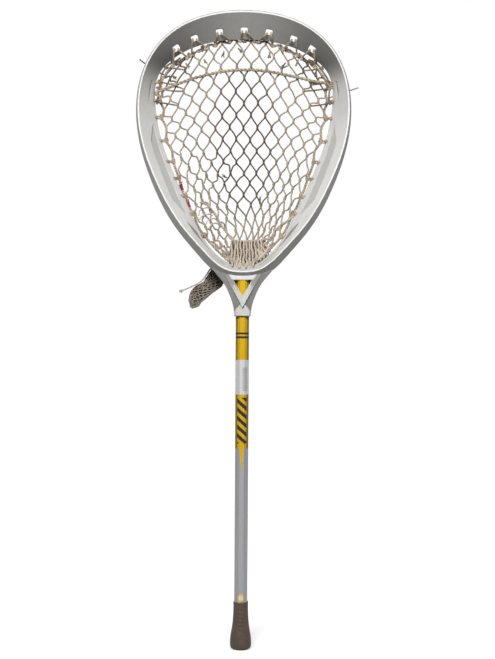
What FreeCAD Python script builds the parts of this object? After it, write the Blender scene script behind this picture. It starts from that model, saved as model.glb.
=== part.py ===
"""Lacrosse goalie stick: a wide strung head on an octagonal shaft with a rubber butt cap.

Millimetres. +Z runs up the shaft to the head, -Y is the side that catches the ball,
+X is to the right of someone looking at that side. The origin is the middle of the
flat under the butt cap.
"""
import FreeCAD
import Part
import math
import os
from collections import namedtuple
from FreeCAD import Base, Vector

# Shaft, an octagonal tube
SHAFT_HALF_X = 11.1
SHAFT_HALF_Y = 12.7
SHAFT_FLAT_X = 3.9
SHAFT_FLAT_Y = 5.5
SHAFT_WALL = 1.3
SHAFT_BOTTOM = 12.0
SHAFT_TOP = 631.0

# Fits between the parts
SLIDE_CLEARANCE = 0.1
PILOT_CLEARANCE = 0.05

# Butt cap: height, half width across X, and how round the outline is there
CAP_TOP = 79.0
CAP_SECTIONS = (
    (0.0, 13.6, 1.0),
    (1.2, 15.9, 1.0),
    (4.5, 17.3, 1.0),
    (12.0, 17.8, 1.0),
    (21.0, 17.2, 0.95),
    (36.6, 14.6, 0.7),
    (52.0, 13.0, 0.4),
    (79.0, 12.5, 0.25),
)
CAP_STEPS = 20
CAP_EXTRA_Y = 1.6
CAP_RIBS = (33.0, 40.0, 47.0, 54.0, 61.0, 68.0)
CAP_RIB_SIZE = (7.6, 3.2)
CAP_RIB_RISE = 0.7

# Collar and legs that carry the head
COLLAR_BOTTOM = 558.0
COLLAR_TOP = 577.0
COLLAR_HALF_X = 13.9
COLLAR_HALF_Y = 16.5
COLLAR_CHAMFER = 3.0
COLLAR_SHOULDER = (15.0, 565.0)
COLLAR_BROW = 4.5
RIDGE_TOP = (40.6, 645.0)
RIDGE_FOOT = (0.0, 572.0)
RIDGE_FRONT = 20.0
LEG_SLOPE = 0.75
WINDOW_TOP = (30.7, 645.0)
WINDOW_FOOT = (0.0, 592.0)
WINDOW_FRONT = 13.0
WINDOW_BACK = 8.0
FOOT_LIP = ((-14.5, 620.0), (-13.6, 618.4), (-8.0, 618.4), (-8.0, 628.0), (-14.5, 628.0))
FOOT_LIP_HALF_X = 23.5
LEG_SIDE = (
    (14.1, 563.0), (14.9, 571.0), (16.9, 580.0), (22.2, 594.5), (30.2, 610.7), (41.0, 625.0), (52.0, 638.0)
)
LEG_SHOULDER = ((52.0, 638.0), (35.0, 630.0), (17.0, 626.0), (0.0, 625.0))

# Screw in the back of the collar
SCREW_Z = 578.0
SCREW_SHANK_R = 2.0
SCREW_HEAD_R = 3.9
SCREW_HEAD_RISE = 2.3
SCREW_REACH = 6.0
SCREW_SLOT = 0.8

# Ring of the head, one station after another from the foot of the ring to the scoop.
# outer and inner are the outermost and innermost points in front view, front and back
# the depths of the lip and of the rear rail, band the width of the outer chamfer,
# rim the width of the rear rail and wall the thickness halfway back.
Station = namedtuple("Station", "outer inner front back lip band rim wall")
STATIONS = (
    Station((0.0, 619.1), (0.0, 643.5), -20.0, 22.0, 12.0, 12.0, 18.0, 15.0),
    Station((36.6, 626.5), (26.5, 649.2), -20.5, 23.0, 12.0, 11.5, 12.0, 10.0),
    Station((75.3, 660.5), (59.4, 679.7), -21.0, 26.0, 11.0, 10.5, 7.5, 6.8),
    Station((116.2, 710.7), (88.6, 733.7), -22.0, 30.0, 9.5, 9.0, 6.0, 5.6),
    Station((151.3, 777.6), (117.2, 797.7), -21.0, 33.0, 8.0, 7.0, 5.8, 5.6),
    Station((173.2, 844.6), (139.8, 858.0), -19.0, 35.5, 7.0, 4.4, 5.8, 5.6),
    Station((179.9, 894.9), (148.9, 901.7), -17.0, 35.5, 6.5, 3.2, 5.8, 5.4),
    Station((165.4, 977.8), (141.1, 974.5), -18.0, 28.0, 5.0, 2.4, 5.8, 4.6),
    Station((145.2, 1010.6), (118.0, 995.4), -20.0, 23.0, 4.5, 2.0, 5.8, 4.4),
    Station((105.8, 1043.2), (87.0, 1011.6), -22.5, 18.0, 4.0, 1.8, 5.8, 4.4),
    Station((0.0, 1067.5), (0.0, 1025.6), -24.0, 14.0, 3.0, 1.8, 5.8, 4.4),
)
CREST_WIDTH = 2.4
LAST = len(STATIONS) - 1
AROUND = 2 * LAST

# Blind recesses in the side walls: station, share of the way back of both edges, depth in front
SIDE_RECESS = (
    (5.62, 0.72, 0.77, 2.4),
    (5.3, 0.56, 0.77, 3.4),
    (5.05, 0.42, 0.77, 4.0),
    (4.75, 0.41, 0.77, 4.2),
    (4.5, 0.41, 0.76, 4.2),
    (4.25, 0.4, 0.76, 4.2),
    (4.0, 0.38, 0.75, 4.2),
    (3.75, 0.35, 0.72, 4.2),
    (3.5, 0.31, 0.69, 4.0),
    (3.25, 0.47, 0.69, 3.2),
    (3.02, 0.64, 0.69, 2.2),
)
UPPER_SLIT = ((6.72, 0.61, 0.7, 2.8), (6.5, 0.59, 0.71, 3.6), (6.28, 0.59, 0.69, 2.8))
LOWER_WEDGE = (
    (2.82, 0.42, 0.46, 2.4),
    (2.6, 0.44, 0.62, 3.8),
    (2.35, 0.48, 0.78, 4.2),
    (2.15, 0.57, 0.8, 4.0),
    (1.95, 0.66, 0.82, 3.6),
    (1.7, 0.66, 0.78, 3.2),
    (1.35, 0.6, 0.73, 3.0),
    (1.0, 0.5, 0.62, 2.4),
)
RECESS_BACK_SHARE = 0.25

# String holes
SCOOP_HOLES = (-8.38, -9.12, -9.58, 10.0, 9.58, 9.12, 8.38)
SCOOP_HOLE_SHARE = 0.64
SCOOP_HOLE_SIZE = (11.6, 8.4)
SIDE_HOLES = (6.7, 6.3, 5.88, 5.0, 4.4, 3.93, 3.47, 3.0, 2.3)
SIDE_HOLE_SHARE = 0.91
SIDE_HOLE_R = 1.7
FOOT_HOLES = ((-17.5, 641.8), (-5.6, 639.0), (5.6, 639.0), (17.5, 641.8))
FOOT_HOLE_R = 1.8

# Pocket of the net, one row after another from the scoop down to the gathered foot:
# height and half width at the edge, depth at the edge, height and depth in the middle
PocketRow = namedtuple("PocketRow", "edge_z edge_x edge_y middle_z middle_y")
POCKET_ROWS = (
    PocketRow(981.0, 125.5, 25.0, 1026.0, 18.5),
    PocketRow(950.0, 138.0, 31.0, 985.0, 26.0),
    PocketRow(899.0, 136.0, 35.5, 921.0, 42.0),
    PocketRow(859.0, 127.5, 36.0, 863.0, 62.0),
    PocketRow(812.0, 112.0, 34.5, 818.0, 88.0),
    PocketRow(763.5, 96.0, 32.5, 777.5, 116.0),
    PocketRow(727.5, 79.0, 30.5, 743.5, 130.0),
    PocketRow(697.0, 64.5, 28.5, 709.5, 126.0),
    PocketRow(675.0, 48.5, 27.5, 683.0, 102.0),
    PocketRow(661.0, 34.0, 27.0, 664.0, 66.0),
    PocketRow(652.0, 22.0, 27.0, 652.5, 34.0),
)
POCKET_COLUMNS = (-1.0, -0.8, -0.55, -0.28, 0.0, 0.28, 0.55, 0.8, 1.0)
NET_THICKNESS = 2.2
NET_COLUMNS = 10
NET_ROWS = 15
NET_TOP = 0.02
NET_GATHER = 0.87
NET_EDGE = 0.018
NET_STRAND = 2.8
NET_JOINT_SHARE = 0.35
SAME_POINT = 1e-6

# Strings
LACE_R = 1.1
SHOOTER_R = 1.7
TAIL_CORD_R = 1.4
SHOOTER_ROUTE = (
    (-0.965, 0.131), (-0.65, 0.127), (-0.3, 0.118), (0.0, 0.114), (0.3, 0.118), (0.65, 0.124), (0.965, 0.124)
)
BEND_SHARE = 0.45

# Loose ends of the strings
TOP_TAIL = ((-136.5, 30.6, 969.0), (-153.0, 30.6, 975.5), (-178.0, 29.0, 994.5))
SHOOTER_TAIL = ((143.5, 37.8, 931.5), (162.0, 37.8, 939.0), (195.0, 36.5, 949.8))
FOOT_TAIL = (
    (-27.0, 27.4, 650.0),
    (-52.5, 27.4, 644.5),
    (-62.8, 27.4, 626.0),
    (-76.0, 27.4, 612.0),
    (-105.0, 27.4, 600.5),
)

# Surplus net gathered behind the throat, outline in front view
TAIL_PIVOT = (-35.0, 637.4)
TAIL_ROOT_R = 8.0
TAIL_FRONT = 30.6
TAIL_THICKNESS = 8.0
TAIL_OUTLINE = (
    (-54.0, 640.0), (-61.0, 626.3), (-69.8, 615.7), (-86.8, 605.6), (-89.6, 597.5), (-91.2, 585.4),
    (-93.8, 581.8), (-91.0, 577.0), (-88.6, 568.6), (-84.6, 567.8), (-76.8, 573.1), (-66.2, 584.5),
    (-52.4, 597.5), (-36.7, 607.0), (-29.5, 616.0), (-27.2, 635.0),
)

# Stickers
LABEL_SPAN = (427.0, 485.0)
STICKER_FILM = 0.25
STICKER_Z = 87.4
STICKER_R = 7.6

# Red thread round the left side string
TIE_WIRE_R = 0.7
TIE_AT = (0.32, 0.5, 0.68)


def octagon(half_x, half_y, flat_x, flat_y, grow):
    """Corners of the shaft's outline moved outwards by grow."""
    rise = half_y - flat_y
    run = half_x - flat_x
    level = rise * flat_x + run * half_y + grow * math.hypot(rise, run)
    x = half_x + grow
    y = half_y + grow
    fx = (level - run * y) / rise
    fy = (level - rise * x) / run
    return [(fx, y), (x, fy), (x, -fy), (fx, -y), (-fx, -y), (-x, -fy), (-x, fy), (-fx, y)]


def shaft_prism(grow, bottom, top):
    """Octagonal prism that follows the shaft at a distance."""
    corners = octagon(SHAFT_HALF_X, SHAFT_HALF_Y, SHAFT_FLAT_X, SHAFT_FLAT_Y, grow)
    return prism_z(corners, bottom, top)


def prism_z(corners, bottom, top):
    points = [Vector(x, y, bottom) for x, y in corners]
    face = Part.Face(Part.makePolygon(points + points[:1]))
    return face.extrude(Vector(0, 0, top - bottom))


def prism_y(corners, front, back):
    points = [Vector(x, front, z) for x, z in corners]
    face = Part.Face(Part.makePolygon(points + points[:1]))
    return face.extrude(Vector(0, back - front, 0))


def cylinder_y(radius, x, z, front, back):
    return Part.makeCylinder(radius, back - front, Vector(x, front, z), Vector(0, 1, 0))


def station_at(index):
    """Station and side of the ring for a whole step round the loop."""
    step = index % AROUND
    if step <= LAST:
        return STATIONS[step], 1.0
    return STATIONS[AROUND - step], -1.0


def section_points(station, side):
    """Corners of the ring's cross section, round the section."""
    ox, oz = station.outer
    ix, iz = station.inner
    width = math.hypot(ix - ox, iz - oz)
    ux, uz = (ix - ox) / width, (iz - oz) / width
    crest = station.band + CREST_WIDTH
    face_run = width - crest
    face_depth = station.back - 2.5 - station.front
    face_length = math.hypot(face_run, face_depth)
    middle_u = crest + face_run / 2 - station.wall * face_depth / face_length
    middle_y = station.front + face_depth / 2 + station.wall * face_run / face_length
    corners = (
        (1.0, station.front + station.lip + 3.0),
        (0.0, station.front + station.lip),
        (station.band, station.front),
        (crest, station.front + 0.3),
        (width, station.back - 2.5),
        (width - 1.5, station.back),
        (width - station.rim + 1.0, station.back),
        (width - station.rim - 0.5, station.back - 2.0),
        (middle_u, middle_y),
    )
    return [Vector(side * (ox + u * ux), y, oz + u * uz) for u, y in corners]


def ring_parameters():
    """Spline parameters of the stations, by distance along the outer edge."""
    points = [section_points(*station_at(i))[1] for i in range(AROUND + 1)]
    steps = [points[i].distanceToPoint(points[i + 1]) for i in range(AROUND)]
    return [sum(steps[:i]) for i in range(AROUND + 1)]


PARAMETERS = ring_parameters()


def ring_curves():
    """One closed spline for each corner of the cross section."""
    sections = [section_points(*station_at(i)) for i in range(AROUND)]
    curves = []
    for corner in range(len(sections[0])):
        curve = Part.BSplineCurve()
        points = [section[corner] for section in sections]
        level = Vector(1, 0, 0)
        curve.interpolate(
            Points=points + points[:1],
            Parameters=PARAMETERS,
            InitialTangent=level,
            FinalTangent=level,
            Scale=False,
        )
        curves.append(curve)
    return curves


CURVES = ring_curves()


def parameter_at(place):
    """Spline parameter of a place given in stations, negative on the left."""
    step = place % AROUND
    low = int(math.floor(step))
    share = step - low
    return PARAMETERS[low] * (1 - share) + PARAMETERS[low + 1] * share


def inner_face(place, share, into=0.0):
    """Point on the inner face of the ring, into the wall by a distance."""
    point, along, across, outward = face_axes(place, share)
    return point + outward * into


def face_axes(place, share):
    """Point on the inner face with directions along the ring, backwards and into the wall."""
    nudge = 1.0
    at = parameter_at(place)
    front, back = CURVES[3], CURVES[4]
    point = front.value(at) * (1 - share) + back.value(at) * share
    ahead = front.value(at + nudge) * (1 - share) + back.value(at + nudge) * share
    behind = front.value(at - nudge) * (1 - share) + back.value(at - nudge) * share
    along = (ahead - behind).normalize()
    across = back.value(at) - front.value(at)
    across = (across - along * across.dot(along)).normalize()
    outward = across.cross(along)
    return point, along, across, outward


def ring_solid():
    """The bare ring, without holes or recesses."""
    edges = [curve.toShape() for curve in CURVES]
    faces = []
    for i, edge in enumerate(edges):
        faces.append(Part.makeRuledSurface(edge, edges[(i + 1) % len(edges)]))
    shell = Part.makeShell(faces)
    if not shell.isClosed():
        shell.sewShape()
    solid = Part.makeSolid(shell)
    if solid.Volume < 0:
        solid.reverse()
    return solid


def wall_recess(rows, side, proud=3.0):
    """Cutter for a blind recess in the inner face, with a floor that rises towards the back."""
    wires = []
    for place, share_front, share_back, depth in rows:
        outward = face_axes(side * place, (share_front + share_back) / 2)[3]
        front = inner_face(side * place, share_front)
        back = inner_face(side * place, share_back)
        corners = [
            front - outward * proud,
            back - outward * proud,
            back + outward * (depth * RECESS_BACK_SHARE),
            front + outward * depth,
        ]
        wires.append(Part.makePolygon(corners + corners[:1]))
    return Part.makeLoft(wires, True, True)


def scoop_hole(place):
    """Cutter for one rounded square string hole, straight through the scoop from front to back."""
    width, height = SCOOP_HOLE_SIZE
    point, along, across, outward = face_axes(place, SCOOP_HOLE_SHARE)
    back = Vector(0, 1, 0)
    level = Vector(along.x, 0, along.z).normalize()
    rise = back.cross(level)
    block = Part.makeBox(width, height, 26.0, Vector(-width / 2, -height / 2, -10.0))
    uprights = [edge for edge in block.Edges if abs(edge.tangentAt(edge.FirstParameter).z) > 0.9]
    block = block.makeFillet(2.2, uprights)
    matrix = FreeCAD.Matrix(
        level.x, rise.x, back.x, point.x,
        level.y, rise.y, back.y, point.y,
        level.z, rise.z, back.z, point.z,
        0, 0, 0, 1,
    )
    block.Placement = FreeCAD.Placement(matrix)
    return block


def side_hole(place):
    point, along, across, outward = face_axes(place, SIDE_HOLE_SHARE)
    return Part.makeCylinder(SIDE_HOLE_R, 22.0, point - outward * 4.0, outward)


def ridge_cutter(side):
    """Everything outside the sloping outer face of one leg."""
    top = Vector(side * RIDGE_TOP[0], -RIDGE_FRONT, RIDGE_TOP[1])
    foot = Vector(side * RIDGE_FOOT[0], -COLLAR_HALF_Y, RIDGE_FOOT[1])
    along = (top - foot).normalize()
    sideways = Vector(side * along.z, 0, -abs(along.x)).normalize()
    start = foot - along * 40.0
    reach = 60.0
    corners = [
        start,
        start + sideways * reach + Vector(0, reach * LEG_SLOPE, 0),
        start + sideways * reach - Vector(0, 20.0, 0),
        start - Vector(0, 20.0, 0),
    ]
    face = Part.Face(Part.makePolygon(corners + corners[:1]))
    return face.extrude(along * 160.0)


def triangle(top, foot, depth):
    corners = [Vector(-top[0], depth, top[1]), Vector(top[0], depth, top[1]), Vector(foot[0], depth, foot[1])]
    return Part.makePolygon(corners + corners[:1])


def legs_solid():
    """The two legs between collar and ring, with their window."""
    right = [Vector(x, 0, z) for x, z in LEG_SIDE]
    left = [Vector(-x, 0, z) for x, z in reversed(LEG_SIDE)]
    shoulder = [Vector(x, 0, z) for x, z in LEG_SHOULDER]
    shoulder += [Vector(-x, 0, z) for x, z in reversed(LEG_SHOULDER[:-1])]
    edges = [spline_edge(right), spline_edge(shoulder), spline_edge(left)]
    edges.append(Part.makeLine(left[-1], right[0]))
    face = Part.Face(Part.Wire(edges))
    legs = face.extrude(Vector(0, RIDGE_FRONT + COLLAR_HALF_Y, 0))
    legs.translate(Vector(0, -RIDGE_FRONT, 0))
    legs = legs.cut(ridge_cutter(1.0)).cut(ridge_cutter(-1.0))
    bevel = Part.makeLoft(
        [triangle(RIDGE_TOP, RIDGE_FOOT, -RIDGE_FRONT), triangle(WINDOW_TOP, WINDOW_FOOT, -WINDOW_FRONT)],
        True,
        True,
    )
    window = Part.Face(triangle(WINDOW_TOP, WINDOW_FOOT, -WINDOW_FRONT))
    window = window.extrude(Vector(0, WINDOW_FRONT + WINDOW_BACK, 0))
    return legs.cut(bevel).cut(window)


def spline_edge(points):
    curve = Part.BSplineCurve()
    curve.interpolate(points)
    return curve.toShape()


def collar_solid():
    """Sleeve that grips the shaft, with its corners chamfered and its shoulders cut down."""
    x, y, c = COLLAR_HALF_X, COLLAR_HALF_Y, COLLAR_CHAMFER
    right = [(x - c, y), (x, y - c), (x, c - y), (x - c, -y)]
    corners = right + [(-a, b) for a, b in reversed(right)]
    sleeve = prism_z(corners, COLLAR_BOTTOM, COLLAR_TOP)
    rim = [edge for edge in sleeve.Edges if abs(edge.CenterOfMass.z - COLLAR_BOTTOM) < 0.01]
    sleeve = sleeve.makeChamfer(0.8, rim)
    wide, low = COLLAR_SHOULDER
    for side in (1.0, -1.0):
        shoulder = [(side * wide, low), (side * COLLAR_BROW, COLLAR_TOP), (side * wide, COLLAR_TOP + 1)]
        sleeve = sleeve.cut(prism_y(shoulder, -y - 1, 0.0))
    return sleeve


def foot_lip_solid():
    """Lip under the foot of the ring, which hides the end of the shaft."""
    points = [Vector(-FOOT_LIP_HALF_X, y, z) for y, z in FOOT_LIP]
    face = Part.Face(Part.makePolygon(points + points[:1]))
    return face.extrude(Vector(2 * FOOT_LIP_HALF_X, 0, 0))


def make_head_frame():
    """Ring, legs and collar in one moulding."""
    body = ring_solid().fuse([legs_solid(), foot_lip_solid(), collar_solid()])
    cutters = [shaft_prism(SLIDE_CLEARANCE, COLLAR_BOTTOM - 5, SHAFT_TOP)]
    cutters.append(cylinder_y(SCREW_SHANK_R + PILOT_CLEARANCE, 0, SCREW_Z, 0, COLLAR_HALF_Y + 3))
    for side in (1.0, -1.0):
        cutters.append(wall_recess(SIDE_RECESS, side))
        cutters.append(wall_recess(UPPER_SLIT, side))
        cutters.append(wall_recess(LOWER_WEDGE, side))
        cutters.extend(side_hole(side * place) for place in SIDE_HOLES)
    cutters.extend(scoop_hole(place) for place in SCOOP_HOLES)
    cutters.extend(cylinder_y(FOOT_HOLE_R, x, z, -30.0, 30.0) for x, z in FOOT_HOLES)
    return body.cut(cutters)


def make_head_screw():
    """Pan head screw with a cross slot."""
    seat = COLLAR_HALF_Y
    head = cylinder_y(SCREW_HEAD_R, 0, SCREW_Z, seat, seat + SCREW_HEAD_RISE)
    rim = [edge for edge in head.Edges if abs(edge.CenterOfMass.y - seat - SCREW_HEAD_RISE) < 0.01]
    head = head.makeFillet(1.2, rim)
    screw = head.fuse(cylinder_y(SCREW_SHANK_R, 0, SCREW_Z, SCREW_REACH, seat))
    for wide, high in ((4.4, SCREW_SLOT), (SCREW_SLOT, 4.4)):
        slot = Part.makeBox(wide, 3.0, high, Vector(-wide / 2, seat + 1.0, SCREW_Z - high / 2))
        screw = screw.cut(slot)
    return screw


def make_shaft_tube():
    tube = shaft_prism(0.0, SHAFT_BOTTOM, SHAFT_TOP).cut(shaft_prism(-SHAFT_WALL, SHAFT_BOTTOM, SHAFT_TOP))
    pilot = cylinder_y(SCREW_SHANK_R + PILOT_CLEARANCE, 0, SCREW_Z, 0, SHAFT_HALF_Y + 3)
    return tube.cut(pilot)


def cap_outline(z, half, roundness):
    """Closed outline between the shaft's octagon and a circle."""
    grow = half - SHAFT_HALF_X
    corners = octagon(SHAFT_HALF_X, SHAFT_HALF_Y, SHAFT_FLAT_X, SHAFT_FLAT_Y, grow)
    half_y = half + CAP_EXTRA_Y * (1 - roundness)
    points = []
    for step in range(25):
        angle = math.radians(15.0 * step)
        dx, dy = math.cos(angle), math.sin(angle)
        flat = octagon_reach(corners, dx, dy)
        circle = 1 / math.hypot(dx / half, dy / half_y)
        reach = flat * (1 - roundness) + circle * roundness
        points.append(Vector(reach * dx, reach * dy, z))
    points[-1] = points[0]
    curve = Part.BSplineCurve()
    ahead = Vector(0, math.tau * half, 0)
    curve.interpolate(
        Points=points,
        Parameters=[i / 24 for i in range(25)],
        InitialTangent=ahead,
        FinalTangent=ahead,
        Scale=False,
    )
    return Part.Wire(curve.toShape())


def octagon_reach(corners, dx, dy):
    """Distance from the axis to the octagon in one direction."""
    reach = 0.0
    for i, (x1, y1) in enumerate(corners):
        x2, y2 = corners[(i + 1) % len(corners)]
        cross = dx * (y2 - y1) - dy * (x2 - x1)
        if abs(cross) < 1e-9:
            continue
        distance = (x1 * (y2 - y1) - y1 * (x2 - x1)) / cross
        share = (x1 * dy - y1 * dx) / cross
        if distance > 0 and -1e-6 <= share <= 1 + 1e-6:
            reach = distance
    return reach


def make_butt_cap():
    """Rubber cap over the end of the shaft."""
    profile = Part.BSplineCurve()
    profile.interpolate([Vector(*section) for section in CAP_SECTIONS])
    length = profile.LastParameter
    steps = [profile.value(length * i / CAP_STEPS) for i in range(CAP_STEPS + 1)]
    wires = [cap_outline(step.x, step.y, min(max(step.z, 0.0), 1.0)) for step in steps]
    cap = Part.makeLoft(wires, True, True)
    wide, high = CAP_RIB_SIZE
    for z in CAP_RIBS:
        front = rib_front(z + high / 2)
        rib = Part.makeBox(wide, 3.0, high, Vector(-wide / 2, front - CAP_RIB_RISE, z))
        cap = cap.fuse(rib)
    return cap.cut(shaft_prism(SLIDE_CLEARANCE, SHAFT_BOTTOM, CAP_TOP + 5))


def rib_front(z):
    """Depth of the cap's front at a height."""
    for (z1, half1, round1), (z2, half2, round2) in zip(CAP_SECTIONS, CAP_SECTIONS[1:]):
        if z1 <= z <= z2:
            share = (z - z1) / (z2 - z1)
            half = half1 + (half2 - half1) * share
            roundness = round1 + (round2 - round1) * share
            return -(half + CAP_EXTRA_Y * (1 - roundness))
    return -SHAFT_HALF_Y


def pocket_depth_share(s):
    """How much of the pocket's depth is reached across its width."""
    return (1 - abs(s) ** 2.2) ** 1.3


def pocket_surface():
    """Surface down the back of the net."""
    grid = []
    for s in POCKET_COLUMNS:
        line = []
        for row in POCKET_ROWS:
            bow = 1 - s * s
            x = row.edge_x * s
            y = row.edge_y + (row.middle_y - row.edge_y) * pocket_depth_share(s)
            z = row.edge_z + (row.middle_z - row.edge_z) * bow
            line.append(Vector(x, y, z))
        grid.append(line)
    surface = Part.BSplineSurface()
    surface.interpolate(grid)
    return surface


POCKET = pocket_surface()


def pocket_point(s, v):
    """Point in the middle of the net's thickness; s is -1 to 1 across, v is 0 to 1 down."""
    return POCKET.value((s + 1) / 2, v) + Vector(0, NET_THICKNESS / 2, 0)


def net_gap(corners):
    """Closed line of a gap, given in the surface's own coordinates."""
    edges = []
    for i, start in enumerate(corners):
        end = corners[(i + 1) % len(corners)]
        line = Part.Geom2d.Line2dSegment(Base.Vector2d(*start), Base.Vector2d(*end))
        edges.append(line.toShape(POCKET))
    return Part.Wire(edges)


def clipped(corners, axis, limit, keep_above):
    """Polygon cut off at a straight limit across one of its two coordinates."""
    kept = []
    for i, start in enumerate(corners):
        end = corners[(i + 1) % len(corners)]
        start_in = (start[axis] >= limit) == keep_above
        end_in = (end[axis] >= limit) == keep_above
        if start_in:
            kept.append(start)
        if start_in != end_in:
            share = (limit - start[axis]) / (end[axis] - start[axis])
            kept.append(tuple(a + (b - a) * share for a, b in zip(start, end)))
    return [point for i, point in enumerate(kept) if math.dist(point, kept[i - 1]) > SAME_POINT]


def net_gaps():
    """Six-sided gaps in staggered rows, cut off at the edges of the net."""
    row_pitch = (NET_GATHER - NET_TOP) / NET_ROWS
    column_pitch = (1 - 2 * NET_EDGE) / NET_COLUMNS
    gaps = []
    for row in range(NET_ROWS + 1):
        v = NET_TOP + row_pitch * row
        width = pocket_point(1.0, v).x - pocket_point(-1.0, v).x
        drop = pocket_point(0.0, v).distanceToPoint(pocket_point(0.0, v + 0.02)) / 0.02
        half_wide = column_pitch / 2 - NET_STRAND / width / 2
        tall = (row_pitch - NET_STRAND / drop) / (1 + NET_JOINT_SHARE)
        short = tall * NET_JOINT_SHARE
        for column in range(NET_COLUMNS + row % 2):
            u = NET_EDGE + column_pitch * (column + 0.5 - 0.5 * (row % 2))
            low = u - half_wide
            high = u + half_wide
            gap = [(u, v - tall), (high, v - short), (high, v + short)]
            gap += [(u, v + tall), (low, v + short), (low, v - short)]
            gap = clipped(gap, 0, NET_EDGE, True)
            gap = clipped(gap, 0, 1 - NET_EDGE, False)
            gaps.append(clipped(gap, 1, NET_TOP, True))
    return gaps


def make_mesh_pocket():
    """The net: one face with its gaps, thickened backwards."""
    face = Part.Face(POCKET, [net_gap(gap) for gap in net_gaps()])
    face.validate()
    return face.extrude(Vector(0, NET_THICKNESS, 0))


def rounded_route(points):
    """Straight runs joined by tangent arcs."""
    edges = []
    start = points[0]
    for before, corner, after in zip(points, points[1:], points[2:]):
        incoming = corner - before
        outgoing = after - corner
        run = min(incoming.Length, outgoing.Length)
        incoming.normalize()
        outgoing.normalize()
        half_turn = incoming.getAngle(outgoing) / 2
        trim = BEND_SHARE * run
        first = corner - incoming * trim
        last = corner + outgoing * trim
        radius = trim / math.tan(half_turn)
        inward = (outgoing - incoming).normalize()
        centre = corner + inward * (radius / math.cos(half_turn))
        middle = centre - inward * radius
        edges.append(Part.makeLine(start, first))
        edges.append(Part.Arc(first, middle, last).toShape())
        start = last
    edges.append(Part.makeLine(start, points[-1]))
    return Part.Wire(edges)


def cord(name, points, radius):
    """Round cord along a route."""
    route = rounded_route([Vector(*p) for p in points])
    first = route.Edges[0]
    profile = Part.Wire(
        Part.makeCircle(radius, first.valueAt(first.FirstParameter), first.tangentAt(first.FirstParameter))
    )
    tube = route.makePipeShell([profile], True, False)
    share = tube.Volume / (math.pi * radius ** 2 * route.Length)
    print(f"{name}: radius {radius} mm, length {route.Length:.1f} mm, volume share {share:.3f}")
    return tube


def top_string_route():
    """Zigzag between the scoop's holes and the top of the net."""
    points = [pocket_point(-0.93, 0.008)]
    holes = len(SCOOP_HOLES)
    for i, place in enumerate(SCOOP_HOLES):
        point, along, across, outward = face_axes(place, SCOOP_HOLE_SHARE + 0.03)
        mouth = point - outward * 0.2
        direction = Vector(1, 0, 0) if along.x > 0 else Vector(-1, 0, 0)
        half = along * (2.3 * direction.x)
        points.extend((mouth - half, mouth + half))
        s = -0.93 + 1.86 * (i + 1) / holes
        low = pocket_point(s, 0.008)
        if i < holes - 1:
            points.extend((low - Vector(2.2, 0, 0), low + Vector(2.2, 0, 0)))
        else:
            points.append(low)
    return points


def edge_share_at(z):
    """How far down the net's edge a height is reached."""
    low, high = 0.0, 1.0
    for _ in range(30):
        middle = (low + high) / 2
        if pocket_point(1.0, middle).z > z:
            low = middle
        else:
            high = middle
    return (low + high) / 2


def side_string_route(side):
    """Down the net's edge, out to each hole in the rail and back."""
    points = [pocket_point(side * 0.985, 0.012)]
    for place in SIDE_HOLES:
        hole = inner_face(side * place, SIDE_HOLE_SHARE, -0.3)
        point, along, across, outward = face_axes(side * place, SIDE_HOLE_SHARE)
        up = along if along.z > 0 else along * -1
        for shift in (4.0, -4.0):
            level = hole.z + shift * up.z
            net = pocket_point(side * 0.985, edge_share_at(level))
            turn = hole + up * (shift * 0.45)
            points.extend((net, turn) if shift > 0 else (turn, net))
    points.append(pocket_point(side * 0.93, 0.975))
    return points


def shooter_route():
    points = [inner_face(-6.42, SIDE_HOLE_SHARE, -0.5)]
    points.extend(pocket_point(s, v) for s, v in SHOOTER_ROUTE)
    points.append(inner_face(6.52, SIDE_HOLE_SHARE, -0.5))
    return points


def foot_string_route():
    """Zigzag between the holes in the foot of the ring and the gathered net."""
    points = [pocket_point(-0.9, 0.97)]
    behind = STATIONS[0].back + LACE_R
    for i, (x, z) in enumerate(FOOT_HOLES):
        points.extend((Vector(x - 1.8, behind, z + 2.6), Vector(x + 1.8, behind, z + 2.6)))
        low = pocket_point(-0.5 + 0.5 * i, 0.985)
        if i < len(FOOT_HOLES) - 1:
            points.extend((low - Vector(1.8, 0, 0), low + Vector(1.8, 0, 0)))
    points.append(pocket_point(0.9, 0.97))
    return points


def make_mesh_tail():
    """Surplus net, gathered and sewn to a point behind the foot of the ring."""
    px, pz = TAIL_PIVOT
    outline = [Vector(x, TAIL_FRONT, z) for x, z in TAIL_OUTLINE]
    centre = Vector(px, TAIL_FRONT, pz)
    top = centre + Vector(0, 0, TAIL_ROOT_R)
    lead_in = Part.Arc(outline[-1], centre + Vector(TAIL_ROOT_R * 0.78, 0, TAIL_ROOT_R * 0.62), top).toShape()
    edges = [Part.makeLine(a, b) for a, b in zip(outline, outline[1:])]
    edges.append(lead_in)
    edges.append(Part.makeLine(top, outline[0]))
    body = Part.Face(Part.Wire(edges)).extrude(Vector(0, TAIL_THICKNESS, 0))
    rims = [edge for edge in body.Edges if abs(edge.tangentAt(edge.FirstParameter).y) < 0.01]
    return body.makeFillet(1.8, rims)


def film(bottom, top):
    """Thin skin on the front half of the shaft."""
    skin = shaft_prism(STICKER_FILM, bottom, top).cut(shaft_prism(0.0, bottom - 1, top + 1))
    return skin.common(Part.makeBox(60.0, 40.0, top - bottom + 2, Vector(-30.0, -40.0, bottom - 1)))


def make_price_label():
    return film(*LABEL_SPAN)


def make_round_sticker():
    disc = cylinder_y(STICKER_R, 0, STICKER_Z, -40.0, 0.0)
    return film(STICKER_Z - STICKER_R - 1, STICKER_Z + STICKER_R + 1).common(disc)


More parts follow.
